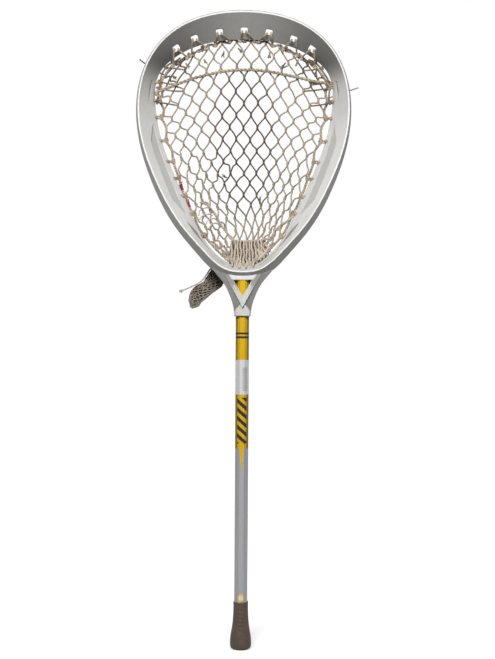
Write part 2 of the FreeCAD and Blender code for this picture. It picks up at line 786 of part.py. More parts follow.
def make_red_tie():
    """Three turns of thread round the left side string, between two of its holes."""
    turns = []
    upper = pocket_point(-0.985, edge_share_at(inner_face(-SIDE_HOLES[5], SIDE_HOLE_SHARE).z - 4.0))
    lower = pocket_point(-0.985, edge_share_at(inner_face(-SIDE_HOLES[6], SIDE_HOLE_SHARE).z + 4.0))
    along = lower - upper
    for share in TIE_AT:
        centre = upper + along * share
        turns.append(Part.makeTorus(LACE_R + TIE_WIRE_R - 0.05, TIE_WIRE_R, centre, along))
    return Part.makeCompound(turns)


def save(name, shape):
    solids = shape.Solids
    valid = all(solid.isValid() for solid in solids)
    box = shape.BoundBox
    print(
        f"{name}: solids {len(solids)}, valid {valid}, faces {len(shape.Faces)}, volume {shape.Volume:.0f}, "
        f"x {box.XMin:.1f}..{box.XMax:.1f}, y {box.YMin:.1f}..{box.YMax:.1f}, z {box.ZMin:.1f}..{box.ZMax:.1f}"
    )
    shape.exportStep(f"parts/{name}.step")


def main():
    os.makedirs("parts", exist_ok=True)
    save("head_frame", make_head_frame())
    save("head_screw", make_head_screw())
    save("shaft_tube", make_shaft_tube())
    save("butt_cap", make_butt_cap())
    save("mesh_pocket", make_mesh_pocket())
    save("mesh_tail", make_mesh_tail())
    save("top_string", cord("top_string", top_string_route(), LACE_R))
    save("sidewall_string_left", cord("sidewall_string_left", side_string_route(-1.0), LACE_R))
    save("sidewall_string_right", cord("sidewall_string_right", side_string_route(1.0), LACE_R))
    save("shooting_string", cord("shooting_string", shooter_route(), SHOOTER_R))
    save("bottom_string", cord("bottom_string", foot_string_route(), LACE_R))
    save("bottom_string_tail", cord("bottom_string_tail", FOOT_TAIL, TAIL_CORD_R))
    save("top_string_tail_left", cord("top_string_tail_left", TOP_TAIL, TAIL_CORD_R))
    save("shooting_string_tail_right", cord("shooting_string_tail_right", SHOOTER_TAIL, TAIL_CORD_R))
    save("price_label", make_price_label())
    save("round_sticker", make_round_sticker())
    save("red_tie", make_red_tie())


main()
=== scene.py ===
# %% [markdown]
# # Dressing a goalkeeper's lacrosse stick
# The rigid parts arrive ready made: a moulded head, a metal tube, a rubber cap and a screw.
# They only get their finishes here. The net and every string arrive as plain stand-ins, so
# this script ties them again, cord by cord, round the same frame.

# %% Load the frame
import bpy
import math
import random
import numpy as np
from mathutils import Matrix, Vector


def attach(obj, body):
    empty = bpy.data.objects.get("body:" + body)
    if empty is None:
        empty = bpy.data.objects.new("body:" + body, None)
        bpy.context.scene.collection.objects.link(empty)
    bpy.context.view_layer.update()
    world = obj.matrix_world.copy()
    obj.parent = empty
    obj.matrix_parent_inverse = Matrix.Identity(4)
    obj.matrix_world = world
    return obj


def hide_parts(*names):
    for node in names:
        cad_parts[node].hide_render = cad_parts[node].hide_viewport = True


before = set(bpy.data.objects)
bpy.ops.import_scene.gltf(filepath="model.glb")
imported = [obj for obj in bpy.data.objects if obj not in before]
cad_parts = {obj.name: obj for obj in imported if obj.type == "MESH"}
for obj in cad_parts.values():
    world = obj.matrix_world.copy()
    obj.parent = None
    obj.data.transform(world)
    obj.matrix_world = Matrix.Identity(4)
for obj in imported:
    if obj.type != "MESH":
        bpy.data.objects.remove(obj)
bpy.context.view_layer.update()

MILLIMETRE = 0.001
chance = random.Random(12)
print("solid parts:", ", ".join(sorted(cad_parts)))

# %% [markdown]
# ## The camera
# The photograph was taken square on from a couple of metres away. Its scale at the shaft is
# known, so the lens follows from the distance and from the height that the picture covers.
# The stick stands a little left of the middle and leans by a third of a degree.

# %% Camera
PHOTO_HEIGHT = 659
METRES_PER_PIXEL = 0.00168
CAMERA_DISTANCE = 2.2
CAMERA_HEIGHT = 0.5359
CAMERA_SIDE = 0.0086
CAMERA_ROLL = math.radians(-0.35)

camera_data = bpy.data.cameras.new("photo_camera")
camera_data.sensor_width = 36.0
camera_data.lens = camera_data.sensor_width * CAMERA_DISTANCE / (PHOTO_HEIGHT * METRES_PER_PIXEL)
camera = bpy.data.objects.new("photo_camera", camera_data)
camera.location = (CAMERA_SIDE, -CAMERA_DISTANCE, CAMERA_HEIGHT)
camera.rotation_euler = (math.radians(90), CAMERA_ROLL, 0)
bpy.context.scene.collection.objects.link(camera)
bpy.context.scene.camera = camera
bpy.context.scene.view_settings.view_transform = "Standard"
print("lens in millimetres:", round(camera_data.lens, 1))

# %% [markdown]
# ## Helpers for shader nodes
# Every finish below is a small graph of nodes. One function adds a node, sets its options and
# plugs in either fixed values or the outputs of other nodes. The functions after it find
# their graph from the outputs they are given, so that a finish reads like a few sums.


# %% Node helpers
def place(tree, kind, inputs=None, **settings):
    """Adds a shader node with its settings and inputs, and returns it."""
    made = tree.nodes.new("ShaderNode" + kind)
    for name, value in settings.items():
        setattr(made, name, value)
    for key, value in (inputs or {}).items():
        if is_output(value):
            tree.links.new(value, made.inputs[key])
        else:
            made.inputs[key].default_value = value
    return made


def is_output(value):
    return isinstance(value, bpy.types.NodeSocket)


def tree_of(*values):
    """Graph of the first value that is an output of a node."""
    return next(value.id_data for value in values if is_output(value))


def calculate(operation, *values):
    """Output of a Math node."""
    return place(tree_of(*values), "Math", dict(enumerate(values)), operation=operation).outputs[0]


def times(first, second):
    return calculate("MULTIPLY", first, second)


def minus(first, second):
    return calculate("SUBTRACT", first, second)


def larger(first, second):
    return calculate("MAXIMUM", first, second)


def scaled(value, factor, offset):
    """Value times factor, plus offset."""
    return calculate("MULTIPLY_ADD", value, factor, offset)


def ramp(value, start, end, low, high, **settings):
    """Low where value is at start, high where it is at end."""
    limits = {"Value": value, "From Min": start, "From Max": end, "To Min": low, "To Max": high}
    return place(value.id_data, "MapRange", limits, **settings).outputs["Result"]


def fade(value, start, end):
    """0 where value is at start, 1 where it is at end, with soft ends."""
    return ramp(value, start, end, 0.0, 1.0, interpolation_type="SMOOTHSTEP")


def between(value, low, high, soft=0.0003):
    """1 where value lies between low and high."""
    return times(fade(value, low - soft, low + soft), fade(value, high + soft, high - soft))


def blend(share, first, second, blend_type="MIX"):
    """Colour between first and second."""
    first, second = (tone if is_output(tone) else (*tone, 1.0) for tone in (first, second))
    inputs = {0: share, 6: first, 7: second}
    made = place(tree_of(share, first, second), "Mix", inputs, data_type="RGBA", blend_type=blend_type)
    return made.outputs[2]


def tint(colour, mask, strength, tone):
    """Colour with a share of another tone where the mask is 1."""
    return blend(times(mask, strength), colour, tone)


def noise(vector, scale, detail=2.0, **more):
    inputs = {"Vector": vector, "Scale": scale, "Detail": detail, **more}
    return place(vector.id_data, "TexNoise", inputs).outputs[0]


def stripes(value):
    """Noise that changes with one number only."""
    return place(value.id_data, "TexNoise", {"W": value}, noise_dimensions="1D").outputs[0]


def stretched(vector, *scale):
    return place(vector.id_data, "Mapping", {"Vector": vector, "Scale": scale}).outputs[0]


def bump(height, strength, distance, **more):
    """Normal that follows a height."""
    inputs = {"Strength": strength, "Distance": distance, "Height": height, **more}
    return place(height.id_data, "Bump", inputs).outputs[0]


def surface_point(tree):
    """Surface point in the stick's own frame."""
    return place(tree, "TexCoord").outputs["Object"]


def axes_of(vector):
    return place(vector.id_data, "SeparateXYZ", {0: vector}).outputs


# %% [markdown]
# ## A plain white stage
# The photograph has a white background. The floor and the world turn white only where the
# camera, a mirror or a clear body looks at them, so that they throw no extra light on the
# stick, and the floor still shows a shadow under the butt.

# %% Stage materials
WHITE = (1.0, 1.0, 1.0, 1.0)
WORLD_GROUND = 0.03
WORLD_LIGHT = 0.09
WORLD_SLOPE = (-0.3, 0.6, WORLD_GROUND, WORLD_LIGHT)
FLOOR_PAINT = (0.62, 0.62, 0.62, 1.0)
FLOOR_BOUNCE = (0.10, 0.10, 0.10, 1.0)
LIFT_NEAR = 0.55
LIFT_FAR = 1.0
LIFT_REACH = 0.55
FLOOR_HALF = 6.0
FLOOR_DROP = 0.5 * MILLIMETRE


def empty_tree(owner):
    owner.use_nodes = True
    owner.node_tree.nodes.clear()
    return owner.node_tree


def seen_directly(tree):
    """1 for rays from the camera, from a mirror or through glass."""
    path = place(tree, "LightPath").outputs
    direct = larger(path["Is Camera Ray"], path["Is Glossy Ray"])
    return larger(direct, path["Is Transmission Ray"])


def make_world():
    world = bpy.data.worlds.new("studio")
    tree = empty_tree(world)
    height = axes_of(place(tree, "TexCoord").outputs["Generated"])["Z"]
    strength = ramp(height, *WORLD_SLOPE)
    light = place(tree, "Background", {"Color": WHITE, "Strength": strength}).outputs[0]
    backdrop = place(tree, "Background", {"Color": WHITE, "Strength": 1.0}).outputs[0]
    mixed = place(tree, "MixShader", {0: seen_directly(tree), 1: light, 2: backdrop}).outputs[0]
    place(tree, "OutputWorld", {"Surface": mixed})
    bpy.context.scene.world = world


def make_floor():
    material = bpy.data.materials.new("floor_paint")
    tree = empty_tree(material)
    away = place(tree, "VectorMath", {0: surface_point(tree)}, operation="LENGTH").outputs["Value"]
    strength = ramp(away, 0.0, LIFT_REACH, LIFT_NEAR, LIFT_FAR)
    paint = place(tree, "BsdfDiffuse", {"Color": FLOOR_PAINT}).outputs[0]
    lift = place(tree, "Emission", {"Color": WHITE, "Strength": strength}).outputs[0]
    lifted = place(tree, "AddShader", {0: paint, 1: lift}).outputs[0]
    bounce = place(tree, "BsdfDiffuse", {"Color": FLOOR_BOUNCE}).outputs[0]
    mixed = place(tree, "MixShader", {0: seen_directly(tree), 1: bounce, 2: lifted}).outputs[0]
    place(tree, "OutputMaterial", {"Surface": mixed})
    mesh = bpy.data.meshes.new("floor")
    corners = [(x * FLOOR_HALF, y * FLOOR_HALF, 0) for x, y in ((-1, -1), (1, -1), (1, 1), (-1, 1))]
    mesh.from_pydata(corners, [], [(0, 1, 2, 3)])
    mesh.materials.append(material)
    floor = bpy.data.objects.new("floor", mesh)
    floor.location.z = -FLOOR_DROP
    bpy.context.scene.collection.objects.link(floor)


make_world()
make_floor()

# %% [markdown]
# ## Light
# The lip is the brightest part, the walls are a little dimmer and the scoop, which looks
# down, is dim. One soft lamp above the camera and a little to its left does most of that. Its
# height follows from the short shadow that the ring throws on the tube behind it. A weak
# second lamp keeps the right flank from going as dark as the left one.

# %% Lamps
AIM = Vector((0.0, 0.0, 0.7))
LAMPS = (
    ("main_softbox", (-0.2, -2.1, 1.95), 0.9, 77.0),
    ("right_softbox", (1.9, -1.3, 1.3), 1.0, 4.0),
)
for name, spot, size, power in LAMPS:
    lamp_data = bpy.data.lights.new(name, "AREA")
    lamp_data.size = size
    lamp_data.energy = power
    lamp = bpy.data.objects.new(name, lamp_data)
    lamp.location = spot
    lamp.rotation_euler = (AIM - Vector(spot)).to_track_quat("-Z", "Y").to_euler()
    bpy.context.scene.collection.objects.link(lamp)
print("lamps:", len(LAMPS))

# %% [markdown]
# ## Shared effects
# Wear, grime, painted shade and twist turn up on several materials, so each is a node group with named
# inputs. A group only works out masks and heights. The shader that uses them stays in the material.


# %% Node group helpers
def start_group(name, inputs):
    """Empty node group with number inputs, and the outputs of its entry."""
    group = bpy.data.node_groups.new(name, "ShaderNodeTree")
    for label, value in inputs.items():
        socket = group.interface.new_socket(label, in_out="INPUT", socket_type="NodeSocketFloat")
        socket.default_value = value
    return group, group.nodes.new("NodeGroupInput").outputs


def end_group(group, outputs, kind="NodeSocketFloat"):
    """Gives a group its named outputs, of one kind."""
    leave = group.nodes.get("Group Output") or group.nodes.new("NodeGroupOutput")
    for label, value in outputs.items():
        group.interface.new_socket(label, in_out="OUTPUT", socket_type=kind)
        group.links.new(value, leave.inputs[label])


# %% [markdown]
# Laid cord is several yarns twisted together. Each tube below is mapped with a share of a
# turn around it and metres along it, so a slanted saw of those two draws the yarns.

# %% Laid cord
CORD_LAY, cord_in = start_group("Laid cord", {"Yarns": 3.0, "Pitch": 0.006})
cord_map = axes_of(place(CORD_LAY, "TexCoord").outputs["UV"])
along = calculate("DIVIDE", cord_map["Y"], cord_in["Pitch"])
saw = calculate("FRACT", scaled(cord_map["X"], cord_in["Yarns"], along))
centred = scaled(saw, 2.0, -1.0)
end_group(CORD_LAY, {"Crown": minus(1.0, times(centred, centred))})

# %% [markdown]
# Ground-in soil gathers in cloudy patches. Two sizes of noise give the cloud and its grain.

# %% Ground-in soil
GRIT_FINENESS = 9.0
GRIT_SHARE = 0.35
SOIL, soil_in = start_group("Ground-in soil", {"Scale": 40.0, "Cover": 0.5, "Softness": 0.15})
soil_point = surface_point(SOIL)
cloud = noise(soil_point, soil_in["Scale"], 5.0, Roughness=0.62)
grit = noise(soil_point, times(soil_in["Scale"], GRIT_FINENESS))
soil_mix = scaled(grit, GRIT_SHARE, times(cloud, 1.0 - GRIT_SHARE))
soil_bare = minus(1.0, soil_in["Cover"])
soil_start = minus(soil_bare, soil_in["Softness"])
soil_end = calculate("ADD", soil_bare, soil_in["Softness"])
end_group(SOIL, {"Mask": fade(soil_mix, soil_start, soil_end)})


def soil(tree, scale, cover, softness):
    inputs = {"Scale": scale, "Cover": cover, "Softness": softness}
    return place(tree, "Group", inputs, node_tree=SOIL).outputs["Mask"]


# %% [markdown]
# Edges of a moulding are never knife sharp. A bevel worked out in the shader rounds the
# normal, and where it differs from the flat one an edge is near, which is also where wear
# and rubbed dirt belong.

# %% Soft edges
EDGE, edge_in = start_group("Soft edge", {"Radius": 0.0008})
rounded = place(EDGE, "Bevel", {"Radius": edge_in["Radius"]}, samples=4).outputs[0]
true_normal = place(EDGE, "NewGeometry").outputs["Normal"]
likeness = place(EDGE, "VectorMath", {0: rounded, 1: true_normal}, operation="DOT_PRODUCT")
end_group(EDGE, {"Mask": fade(likeness.outputs["Value"], 0.995, 0.86)})
end_group(EDGE, {"Normal": rounded}, "NodeSocketVector")


def soft_edge(tree, radius):
    return place(tree, "Group", {"Radius": radius}, node_tree=EDGE).outputs


# %% [markdown]
# A catch is made in the middle of the net, again and again, and the turf rubs off the ball
# there. The upper corners, where nobody can brush, are just as dark. A soft oval at a height
# and at a distance from the middle, the same on both sides, tells the cords where that is.

# %% Soiled oval
CATCH = {"Height": 0.862, "Offset": 0.0, "Half Width": 0.06, "Half Height": 0.13}
UPPER_CORNER = {"Height": 0.985, "Offset": 0.135, "Half Width": 0.05, "Half Height": 0.05}
OVAL, oval_in = start_group("Soiled oval", CATCH)
oval_axes = axes_of(surface_point(OVAL))
oval_x = minus(calculate("ABSOLUTE", oval_axes["X"]), oval_in["Offset"])
oval_x = calculate("DIVIDE", oval_x, oval_in["Half Width"])
oval_z = calculate("DIVIDE", minus(oval_axes["Z"], oval_in["Height"]), oval_in["Half Height"])
end_group(OVAL, {"Mask": fade(scaled(oval_x, oval_x, times(oval_z, oval_z)), 1.4, 0.4)})

# %% [markdown]
# The head gets painted shade in several kinds of places, which a group finds from height and normal. A face
# that looks towards the middle of the ring belongs to its inside. There the floors of the long recesses face
# more to the front than the walls do, and they take painted shade, darkest in the narrow slits. The ramp of
# the scoop, which looks down, the outer flanks, the inside of the foot and the throat take painted shade
# too.

# %% Shaded places of the head
RING_CENTRE_HEIGHT = 0.87
LIP_FRONTAL = 0.85
# from a height to a height, how much a floor faces the front at least
FLOOR_LIMIT = (0.67, 0.74, 0.42, 0.56)
FLOORS_TOP = 0.975
LOW_SLITS = (0.725, 0.715)
HIGH_SLITS = (0.93, 0.94)
SCOOP_START = (0.945, 0.990)
# the painted shade on the ramp gets darker from its middle to its ends
SCOOP_SIDES = (0.0, 0.11, 0.55, 0.80)
FOOT_INSIDE = (0.672, 0.648)
THROAT = (0.585, 0.570)
FLANK_FRONTAL = (-0.1, 0.25)
ZONES, zones_in = start_group("Shaded places", {"Flattest Floor": 0.8})
zone_x, zone_z = (axes_of(surface_point(ZONES))[axis] for axis in "XZ")
zone_normal = axes_of(place(ZONES, "NewGeometry").outputs["True Normal"])
inward = times(minus(RING_CENTRE_HEIGHT, zone_z), zone_normal["Z"])
inward = minus(inward, times(zone_x, zone_normal["X"]))
frontal = times(zone_normal["Y"], -1.0)
not_lip = calculate("LESS_THAN", frontal, LIP_FRONTAL)
inside = times(not_lip, calculate("GREATER_THAN", inward, 0.01))
outside = times(not_lip, calculate("LESS_THAN", inward, -0.01))
is_floor = times(inside, calculate("GREATER_THAN", frontal, ramp(zone_z, *FLOOR_LIMIT)))
is_floor = times(is_floor, calculate("LESS_THAN", frontal, zones_in["Flattest Floor"]))
is_floor = times(is_floor, calculate("LESS_THAN", zone_z, FLOORS_TOP))
near_slit = larger(fade(zone_z, *LOW_SLITS), fade(zone_z, *HIGH_SLITS))
scoop = times(fade(zone_z, *SCOOP_START), inside)
# masks of the places that take painted shade; Floor also sets the roughness
end_group(ZONES, {
    "Floor": is_floor,
    "Slit": times(is_floor, near_slit),
    "Scoop": times(scoop, ramp(calculate("ABSOLUTE", zone_x), *SCOOP_SIDES)),
    "Foot": larger(times(fade(zone_z, *FOOT_INSIDE), inside), fade(zone_z, *THROAT)),
    "Flank": times(outside, fade(frontal, *FLANK_FRONTAL)),
})
print("node groups:", len(bpy.data.node_groups))


# %% [markdown]
# ## Finishes
# Each material keeps its own Principled shader. Numbers that are the same all over are set
# on the shader itself, and only what changes over the surface comes in through a wire.


# %% Material helpers
def start_material(name, **plain):
    """New material with a Principled shader and its fixed values, and its graph."""
    material = bpy.data.materials.new(name)
    material.use_nodes = True
    shader = material.node_tree.nodes["Principled BSDF"]
    for label, value in plain.items():
        shader.inputs[label.replace("_", " ")].default_value = value
    return material, material.node_tree


def wired(material, **outputs):
    """The material, with outputs plugged into its shader."""
    shader = material.node_tree.nodes["Principled BSDF"]
    for label, output in outputs.items():
        material.node_tree.links.new(output, shader.inputs[label.replace("_", " ")])
    return material


# %% [markdown]
# The head is one injection moulding in a stiff off-white nylon. Years of grass and mitts leave it with
# cloudy grey soil and faint scuffs on the rims. Painted shade darkens its corners, found by ambient
# occlusion, and the shaded places that the group above finds. The surface itself has the slight orange peel
# of a textured mould.

# %% Moulded head
HEAD_PAINT = (0.72, 0.715, 0.695)
HEAD_GREY = (0.45, 0.44, 0.42)
# tone of the real scuffs, also used as painted shade in the corners, at the foot and in the throat
HEAD_SCUFF_AND_SHADE = (0.33, 0.31, 0.28)
# painted shade of the recess floors
HEAD_RECESS_SHADE = (0.40, 0.40, 0.385)
# deep painted shade of the slits, the scoop and the outer flanks
HEAD_DEEP_SHADE = (0.085, 0.083, 0.075)
# how strongly each shaded place takes its painted shade
PAINTED_SHADE_PLACES = (
    ("Floor", 0.85, HEAD_RECESS_SHADE),
    ("Slit", 0.55, HEAD_DEEP_SHADE),
    ("Scoop", 1.0, HEAD_DEEP_SHADE),
    ("Foot", 0.38, HEAD_SCUFF_AND_SHADE),
    ("Flank", 0.62, HEAD_DEEP_SHADE),
)


def make_head_finish():
    material, tree = start_material("head_nylon", Specular_IOR_Level=0.4)
    point = surface_point(tree)
    zones = place(tree, "Group", node_tree=ZONES).outputs
    corner = place(tree, "AmbientOcclusion", {"Distance": 0.010}, samples=8).outputs["AO"]
    colour = tint(HEAD_PAINT, soil(tree, 14.0, 0.46, 0.2), 0.3, HEAD_GREY)
    # painted shade in the recesses, slits, scoop, flanks, foot and throat
    for label, strength, tone in PAINTED_SHADE_PLACES:
        colour = tint(colour, zones[label], strength, tone)
    # painted shade in the corners, found by ambient occlusion
    colour = tint(colour, fade(corner, 0.95, 0.35), 0.6, HEAD_SCUFF_AND_SHADE)
    colour = tint(colour, soil(tree, 90.0, 0.34, 0.05), 0.4, HEAD_SCUFF_AND_SHADE)
    scratches = noise(stretched(point, 60.0, 60.0, 900.0), 1.0, 3.0)
    rough = scaled(zones["Floor"], 0.25, scaled(scratches, 0.3, 0.30))
    height = scaled(scratches, 0.4, noise(point, 1400.0))
    normal = bump(height, 0.12, 0.0003, Normal=soft_edge(tree, 0.0011)["Normal"])
    return wired(material, Base_Color=colour, Roughness=rough, Normal=normal)


# %% [markdown]
# The tube is silver with a yellow sleeve of paint on its upper half. Generic black bands and
# slanted bars stand where the real one carries its lettering. The paint ends in a long
# yellow point on the front flat. All of this depends only on the height and on the
# distance from the middle, so a few sums on those two draw it.

# %% Shaft paint
YELLOW = (0.66, 0.40, 0.003)
SHADE_YELLOW = (0.13, 0.105, 0.02)
DUSTY_YELLOW = (0.42, 0.26, 0.01)
SILVER = (0.29, 0.295, 0.30)
SILVER_DARK = (0.19, 0.19, 0.195)
BLACK = (0.018, 0.018, 0.02)
PAINT_FOOT = 0.337
POINT_TIP = 0.2955
FLAT_HALF = 0.0039
BARS_FROM = 0.345
BARS_TO = 0.422
BARS_PITCH = 0.0145
BARS_SLANT = 0.9
BARS_EDGE = (0.0080, 0.0076)
# where painted shade begins on the side facets of the yellow
SIDE_EDGE = (0.0072, 0.0080)
BANDS = ((0.521, 0.5245), (0.5275, 0.531), (0.2865, 0.2925))


def make_shaft_finish():
    material, tree = start_material("shaft_paint", Coat_Roughness=0.12, Specular_IOR_Level=0.18)
    point = surface_point(tree)
    axes = axes_of(point)
    height = axes["Z"]
    across = calculate("ABSOLUTE", axes["X"])
    front = fade(axes["Y"], 0.0, -0.002)
    point_width = ramp(height, POINT_TIP, PAINT_FOOT, 0.0, FLAT_HALF)
    inside_point = times(fade(minus(point_width, across), 0.0, 0.0003), front)
    painted = larger(fade(height, PAINT_FOOT - 0.0004, PAINT_FOOT), inside_point)
    slant = scaled(axes["X"], BARS_SLANT, height)
    turns = calculate("DIVIDE", minus(slant, BARS_FROM), BARS_PITCH)
    printed = fade(calculate("PINGPONG", turns, 0.5), 0.22, 0.26)
    for mask in (between(height, BARS_FROM, BARS_TO), fade(across, *BARS_EDGE), front):
        printed = times(printed, mask)
    for low, high in BANDS:
        printed = larger(printed, between(height, low, high))
    edge = soft_edge(tree, 0.0007)
    rubbed = times(soil(tree, 45.0, 0.40, 0.03), edge["Mask"])
    brushing = noise(stretched(point, 2500.0, 2500.0, 14.0), 1.0)
    metal = tint(SILVER, brushing, 0.6, SILVER_DARK)
    # painted shade on the yellow of the side facets
    paint = tint(YELLOW, fade(across, *SIDE_EDGE), 0.85, SHADE_YELLOW)
    paint = tint(paint, soil(tree, 30.0, 0.47, 0.12), 0.25, DUSTY_YELLOW)
    paint = blend(printed, paint, BLACK)
    kept = times(painted, minus(1.0, rubbed))
    return wired(
        material,
        Base_Color=blend(kept, metal, paint),
        Metallic=times(minus(1.0, kept), 0.85),
        Roughness=scaled(brushing, 0.25, 0.26),
        Coat_Weight=times(kept, 0.08),
        Normal=bump(brushing, 0.08, 0.0002, Normal=edge["Normal"]),
    )


# %% [markdown]
# The butt cap is soft rubber, rubbed smooth on its ribs and dusty in between.

# %% Cap rubber
CAP_RUBBER = (0.055, 0.037, 0.025)
CAP_DUST = (0.15, 0.105, 0.07)


def make_cap_finish():
    material, tree = start_material("cap_rubber", Roughness=0.7, Sheen_Weight=0.08)
    dust = soil(tree, 55.0, 0.5, 0.12)
    edge = soft_edge(tree, 0.0009)
    colour = tint(CAP_RUBBER, dust, 0.55, CAP_DUST)
    colour = tint(colour, edge["Mask"], 0.35, CAP_DUST)
    normal = bump(noise(surface_point(tree), 1800.0), 0.3, 0.0002, Normal=edge["Normal"])
    return wired(material, Base_Color=colour, Roughness=scaled(dust, 0.2, 0.6), Normal=normal)


# %% [markdown]
# The screw is steel turned on a lathe, so its fine lines run in circles round its axis.

# %% Screw steel
SCREW_CENTRE = (0.0, 0.0, 0.578)
STEEL = (0.50, 0.50, 0.50)
STEEL_DARK = (0.36, 0.35, 0.34)


def make_screw_finish():
    material, tree = start_material("screw_steel", Metallic=1.0)
    away = {0: surface_point(tree), 1: SCREW_CENTRE}
    away = place(tree, "VectorMath", away, operation="SUBTRACT").outputs[0]
    flat = place(tree, "VectorMath", {0: away, 1: (1.0, 0.0, 1.0)}, operation="MULTIPLY").outputs[0]
    radius = place(tree, "VectorMath", {0: flat}, operation="LENGTH").outputs["Value"]
    rings = stripes(times(radius, 9000.0))
    normal = bump(rings, 0.1, 0.0001, Normal=soft_edge(tree, 0.0004)["Normal"])
    colour = blend(rings, STEEL, STEEL_DARK)
    return wired(material, Base_Color=colour, Roughness=scaled(rings, 0.3, 0.2), Normal=normal)


# %% [markdown]
# The two stickers are plain ones: a silvery label with a block of bars, and a yellow disc
# with a white middle. Both are printed paper under a thin film.

# %% Stickers
LABEL_BLOCK_HEIGHTS = (0.433, 0.473)
LABEL_BLOCK_SIDES = (0.0008, 0.0088)
LABEL_SILVER = (0.60, 0.60, 0.60)
LABEL_CREASE = (0.46, 0.46, 0.47)
LABEL_INK = (0.06, 0.06, 0.07)
STICKER_HEIGHT = 0.0874
STICKER_WHITE_RADIUS = 0.0047
STICKER_WHITE = (0.72, 0.71, 0.69)
STICKER_DUST = (0.30, 0.26, 0.20)


def make_label_finish():
    material, tree = start_material("label_film", Coat_Weight=0.4, Coat_Roughness=0.15, Metallic=0.25)
    point = surface_point(tree)
    axes = axes_of(point)
    block = times(between(axes["Z"], *LABEL_BLOCK_HEIGHTS), between(axes["X"], *LABEL_BLOCK_SIDES))
    printed = times(fade(stripes(times(axes["Z"], 900.0)), 0.50, 0.53), block)
    creases = noise(point, 260.0, 3.0, Distortion=1.0)
    colour = tint(blend(creases, LABEL_SILVER, LABEL_CREASE), printed, 0.8, LABEL_INK)
    rough = scaled(creases, 0.25, 0.25)
    return wired(material, Base_Color=colour, Roughness=rough, Normal=bump(creases, 0.25, 0.0002))


def make_sticker_finish():
    material, tree = start_material("sticker_film", Coat_Weight=0.5, Coat_Roughness=0.1)
    axes = axes_of(surface_point(tree))
    height = minus(axes["Z"], STICKER_HEIGHT)
    radius = calculate("SQRT", scaled(axes["X"], axes["X"], times(height, height)))
    ring = fade(radius, STICKER_WHITE_RADIUS - 0.0002, STICKER_WHITE_RADIUS + 0.0002)
    dust = soil(tree, 160.0, 0.48, 0.1)
    colour = tint(blend(ring, STICKER_WHITE, YELLOW), dust, 0.3, STICKER_DUST)
    rough = scaled(dust, 0.3, 0.3)
    return wired(material, Base_Color=colour, Roughness=rough, Normal=bump(dust, 0.1, 0.0001))


# %% [markdown]
# All cords share one recipe and differ in colour, yarns and soil. The grooves between the yarns are darkened
# with painted shade, and a fine noise stands for the loose fibres.

# %% Cord fibre
NET_PITCH = 0.0045
LACE_PITCH = 0.004


def make_cord_finish(name, clean, soiled, pitch, cover=0.45, yarns=3.0, groove_shade=0.5, marked=False):
    """Twisted cord; marked cords darken where the ball lands and in the upper corners."""
    material, tree = start_material(name, Roughness=0.88, Sheen_Weight=0.25, Sheen_Roughness=0.5)
    point = surface_point(tree)
    lay = {"Yarns": yarns, "Pitch": pitch}
    crown = place(tree, "Group", lay, node_tree=CORD_LAY).outputs["Crown"]
    grime = soil(tree, 28.0, cover, 0.16)
    if marked:
        grime = times(grime, 0.45)
        for oval in (CATCH, UPPER_CORNER):
            grime = larger(grime, place(tree, "Group", oval, node_tree=OVAL).outputs["Mask"])
    colour = tint(blend(grime, clean, soiled), noise(point, 120.0, 3.0), 0.35, soiled)
    # painted shade in the grooves between the yarns
    shade = minus(1.0, times(minus(1.0, crown), groove_shade))
    grey = place(tree, "CombineColor", {0: shade, 1: shade, 2: shade}).outputs[0]
    colour = blend(1.0, colour, grey, "MULTIPLY")
    normal = bump(scaled(noise(point, 2600.0), 0.3, crown), 0.7, 0.0004)
    return wired(material, Base_Color=colour, Normal=normal)


# %% [markdown]
# The surplus net is so tightly bunched that only shaded hollows show between its cords. A lumpy core in dark
# brown painted shade fills the bunch, and real cords are laid over it.

# %% Painted shade core of bunched net
# painted shade of the hollows in the bunched net, with lighter rims round its cells
CORE_SHADE = (0.028, 0.021, 0.015)
CORE_RIM = (0.13, 0.10, 0.072)


def make_shade_core_finish():
    material, tree = start_material("bunched_shade_core", Roughness=0.95, Sheen_Weight=0.2)
    inputs = {"Vector": surface_point(tree), "Scale": 330.0}
    cells = place(tree, "TexVoronoi", inputs, feature="DISTANCE_TO_EDGE").outputs[0]
    rims = fade(cells, 0.16, 0.02)
    return wired(material, Base_Color=blend(rims, CORE_SHADE, CORE_RIM), Normal=bump(rims, 1.0, 0.0012))


# %% [markdown]
# Every cord below takes one of these finishes: a clean colour, a soiled one and the distance
# from one yarn to the next along it. The solid parts take theirs at once.

# %% Finishes of the cords and of the solid parts
net_finish = make_cord_finish("net_cord", (0.54, 0.44, 0.335), (0.115, 0.078, 0.052), NET_PITCH, marked=True)
bundle_finish = make_cord_finish("bundle_cord", (0.78, 0.66, 0.53), (0.36, 0.28, 0.21), NET_PITCH, 0.36)
lace_finish = make_cord_finish("lace_cord", (0.62, 0.51, 0.38), (0.24, 0.17, 0.11), LACE_PITCH)
soiled_finish = make_cord_finish("soiled_lace", (0.22, 0.165, 0.115), (0.05, 0.034, 0.024), LACE_PITCH, 0.55)
shooter_finish = make_cord_finish(
    "shooter_cord", (0.62, 0.545, 0.40), (0.30, 0.23, 0.145), LACE_PITCH, groove_shade=0.7
)
pale_finish = make_cord_finish("pale_cord", (0.72, 0.69, 0.62), (0.40, 0.34, 0.26), LACE_PITCH, 0.4)
worn_finish = make_cord_finish("worn_lace", (0.40, 0.31, 0.22), (0.10, 0.07, 0.048), LACE_PITCH, 0.5)
tail_finish = make_cord_finish("tail_cord", (0.42, 0.36, 0.29), (0.17, 0.135, 0.10), NET_PITCH, 0.5)
red_finish = make_cord_finish("red_thread", (0.50, 0.022, 0.03), (0.20, 0.012, 0.015), 0.002, yarns=2.0)
shade_core_finish = make_shade_core_finish()
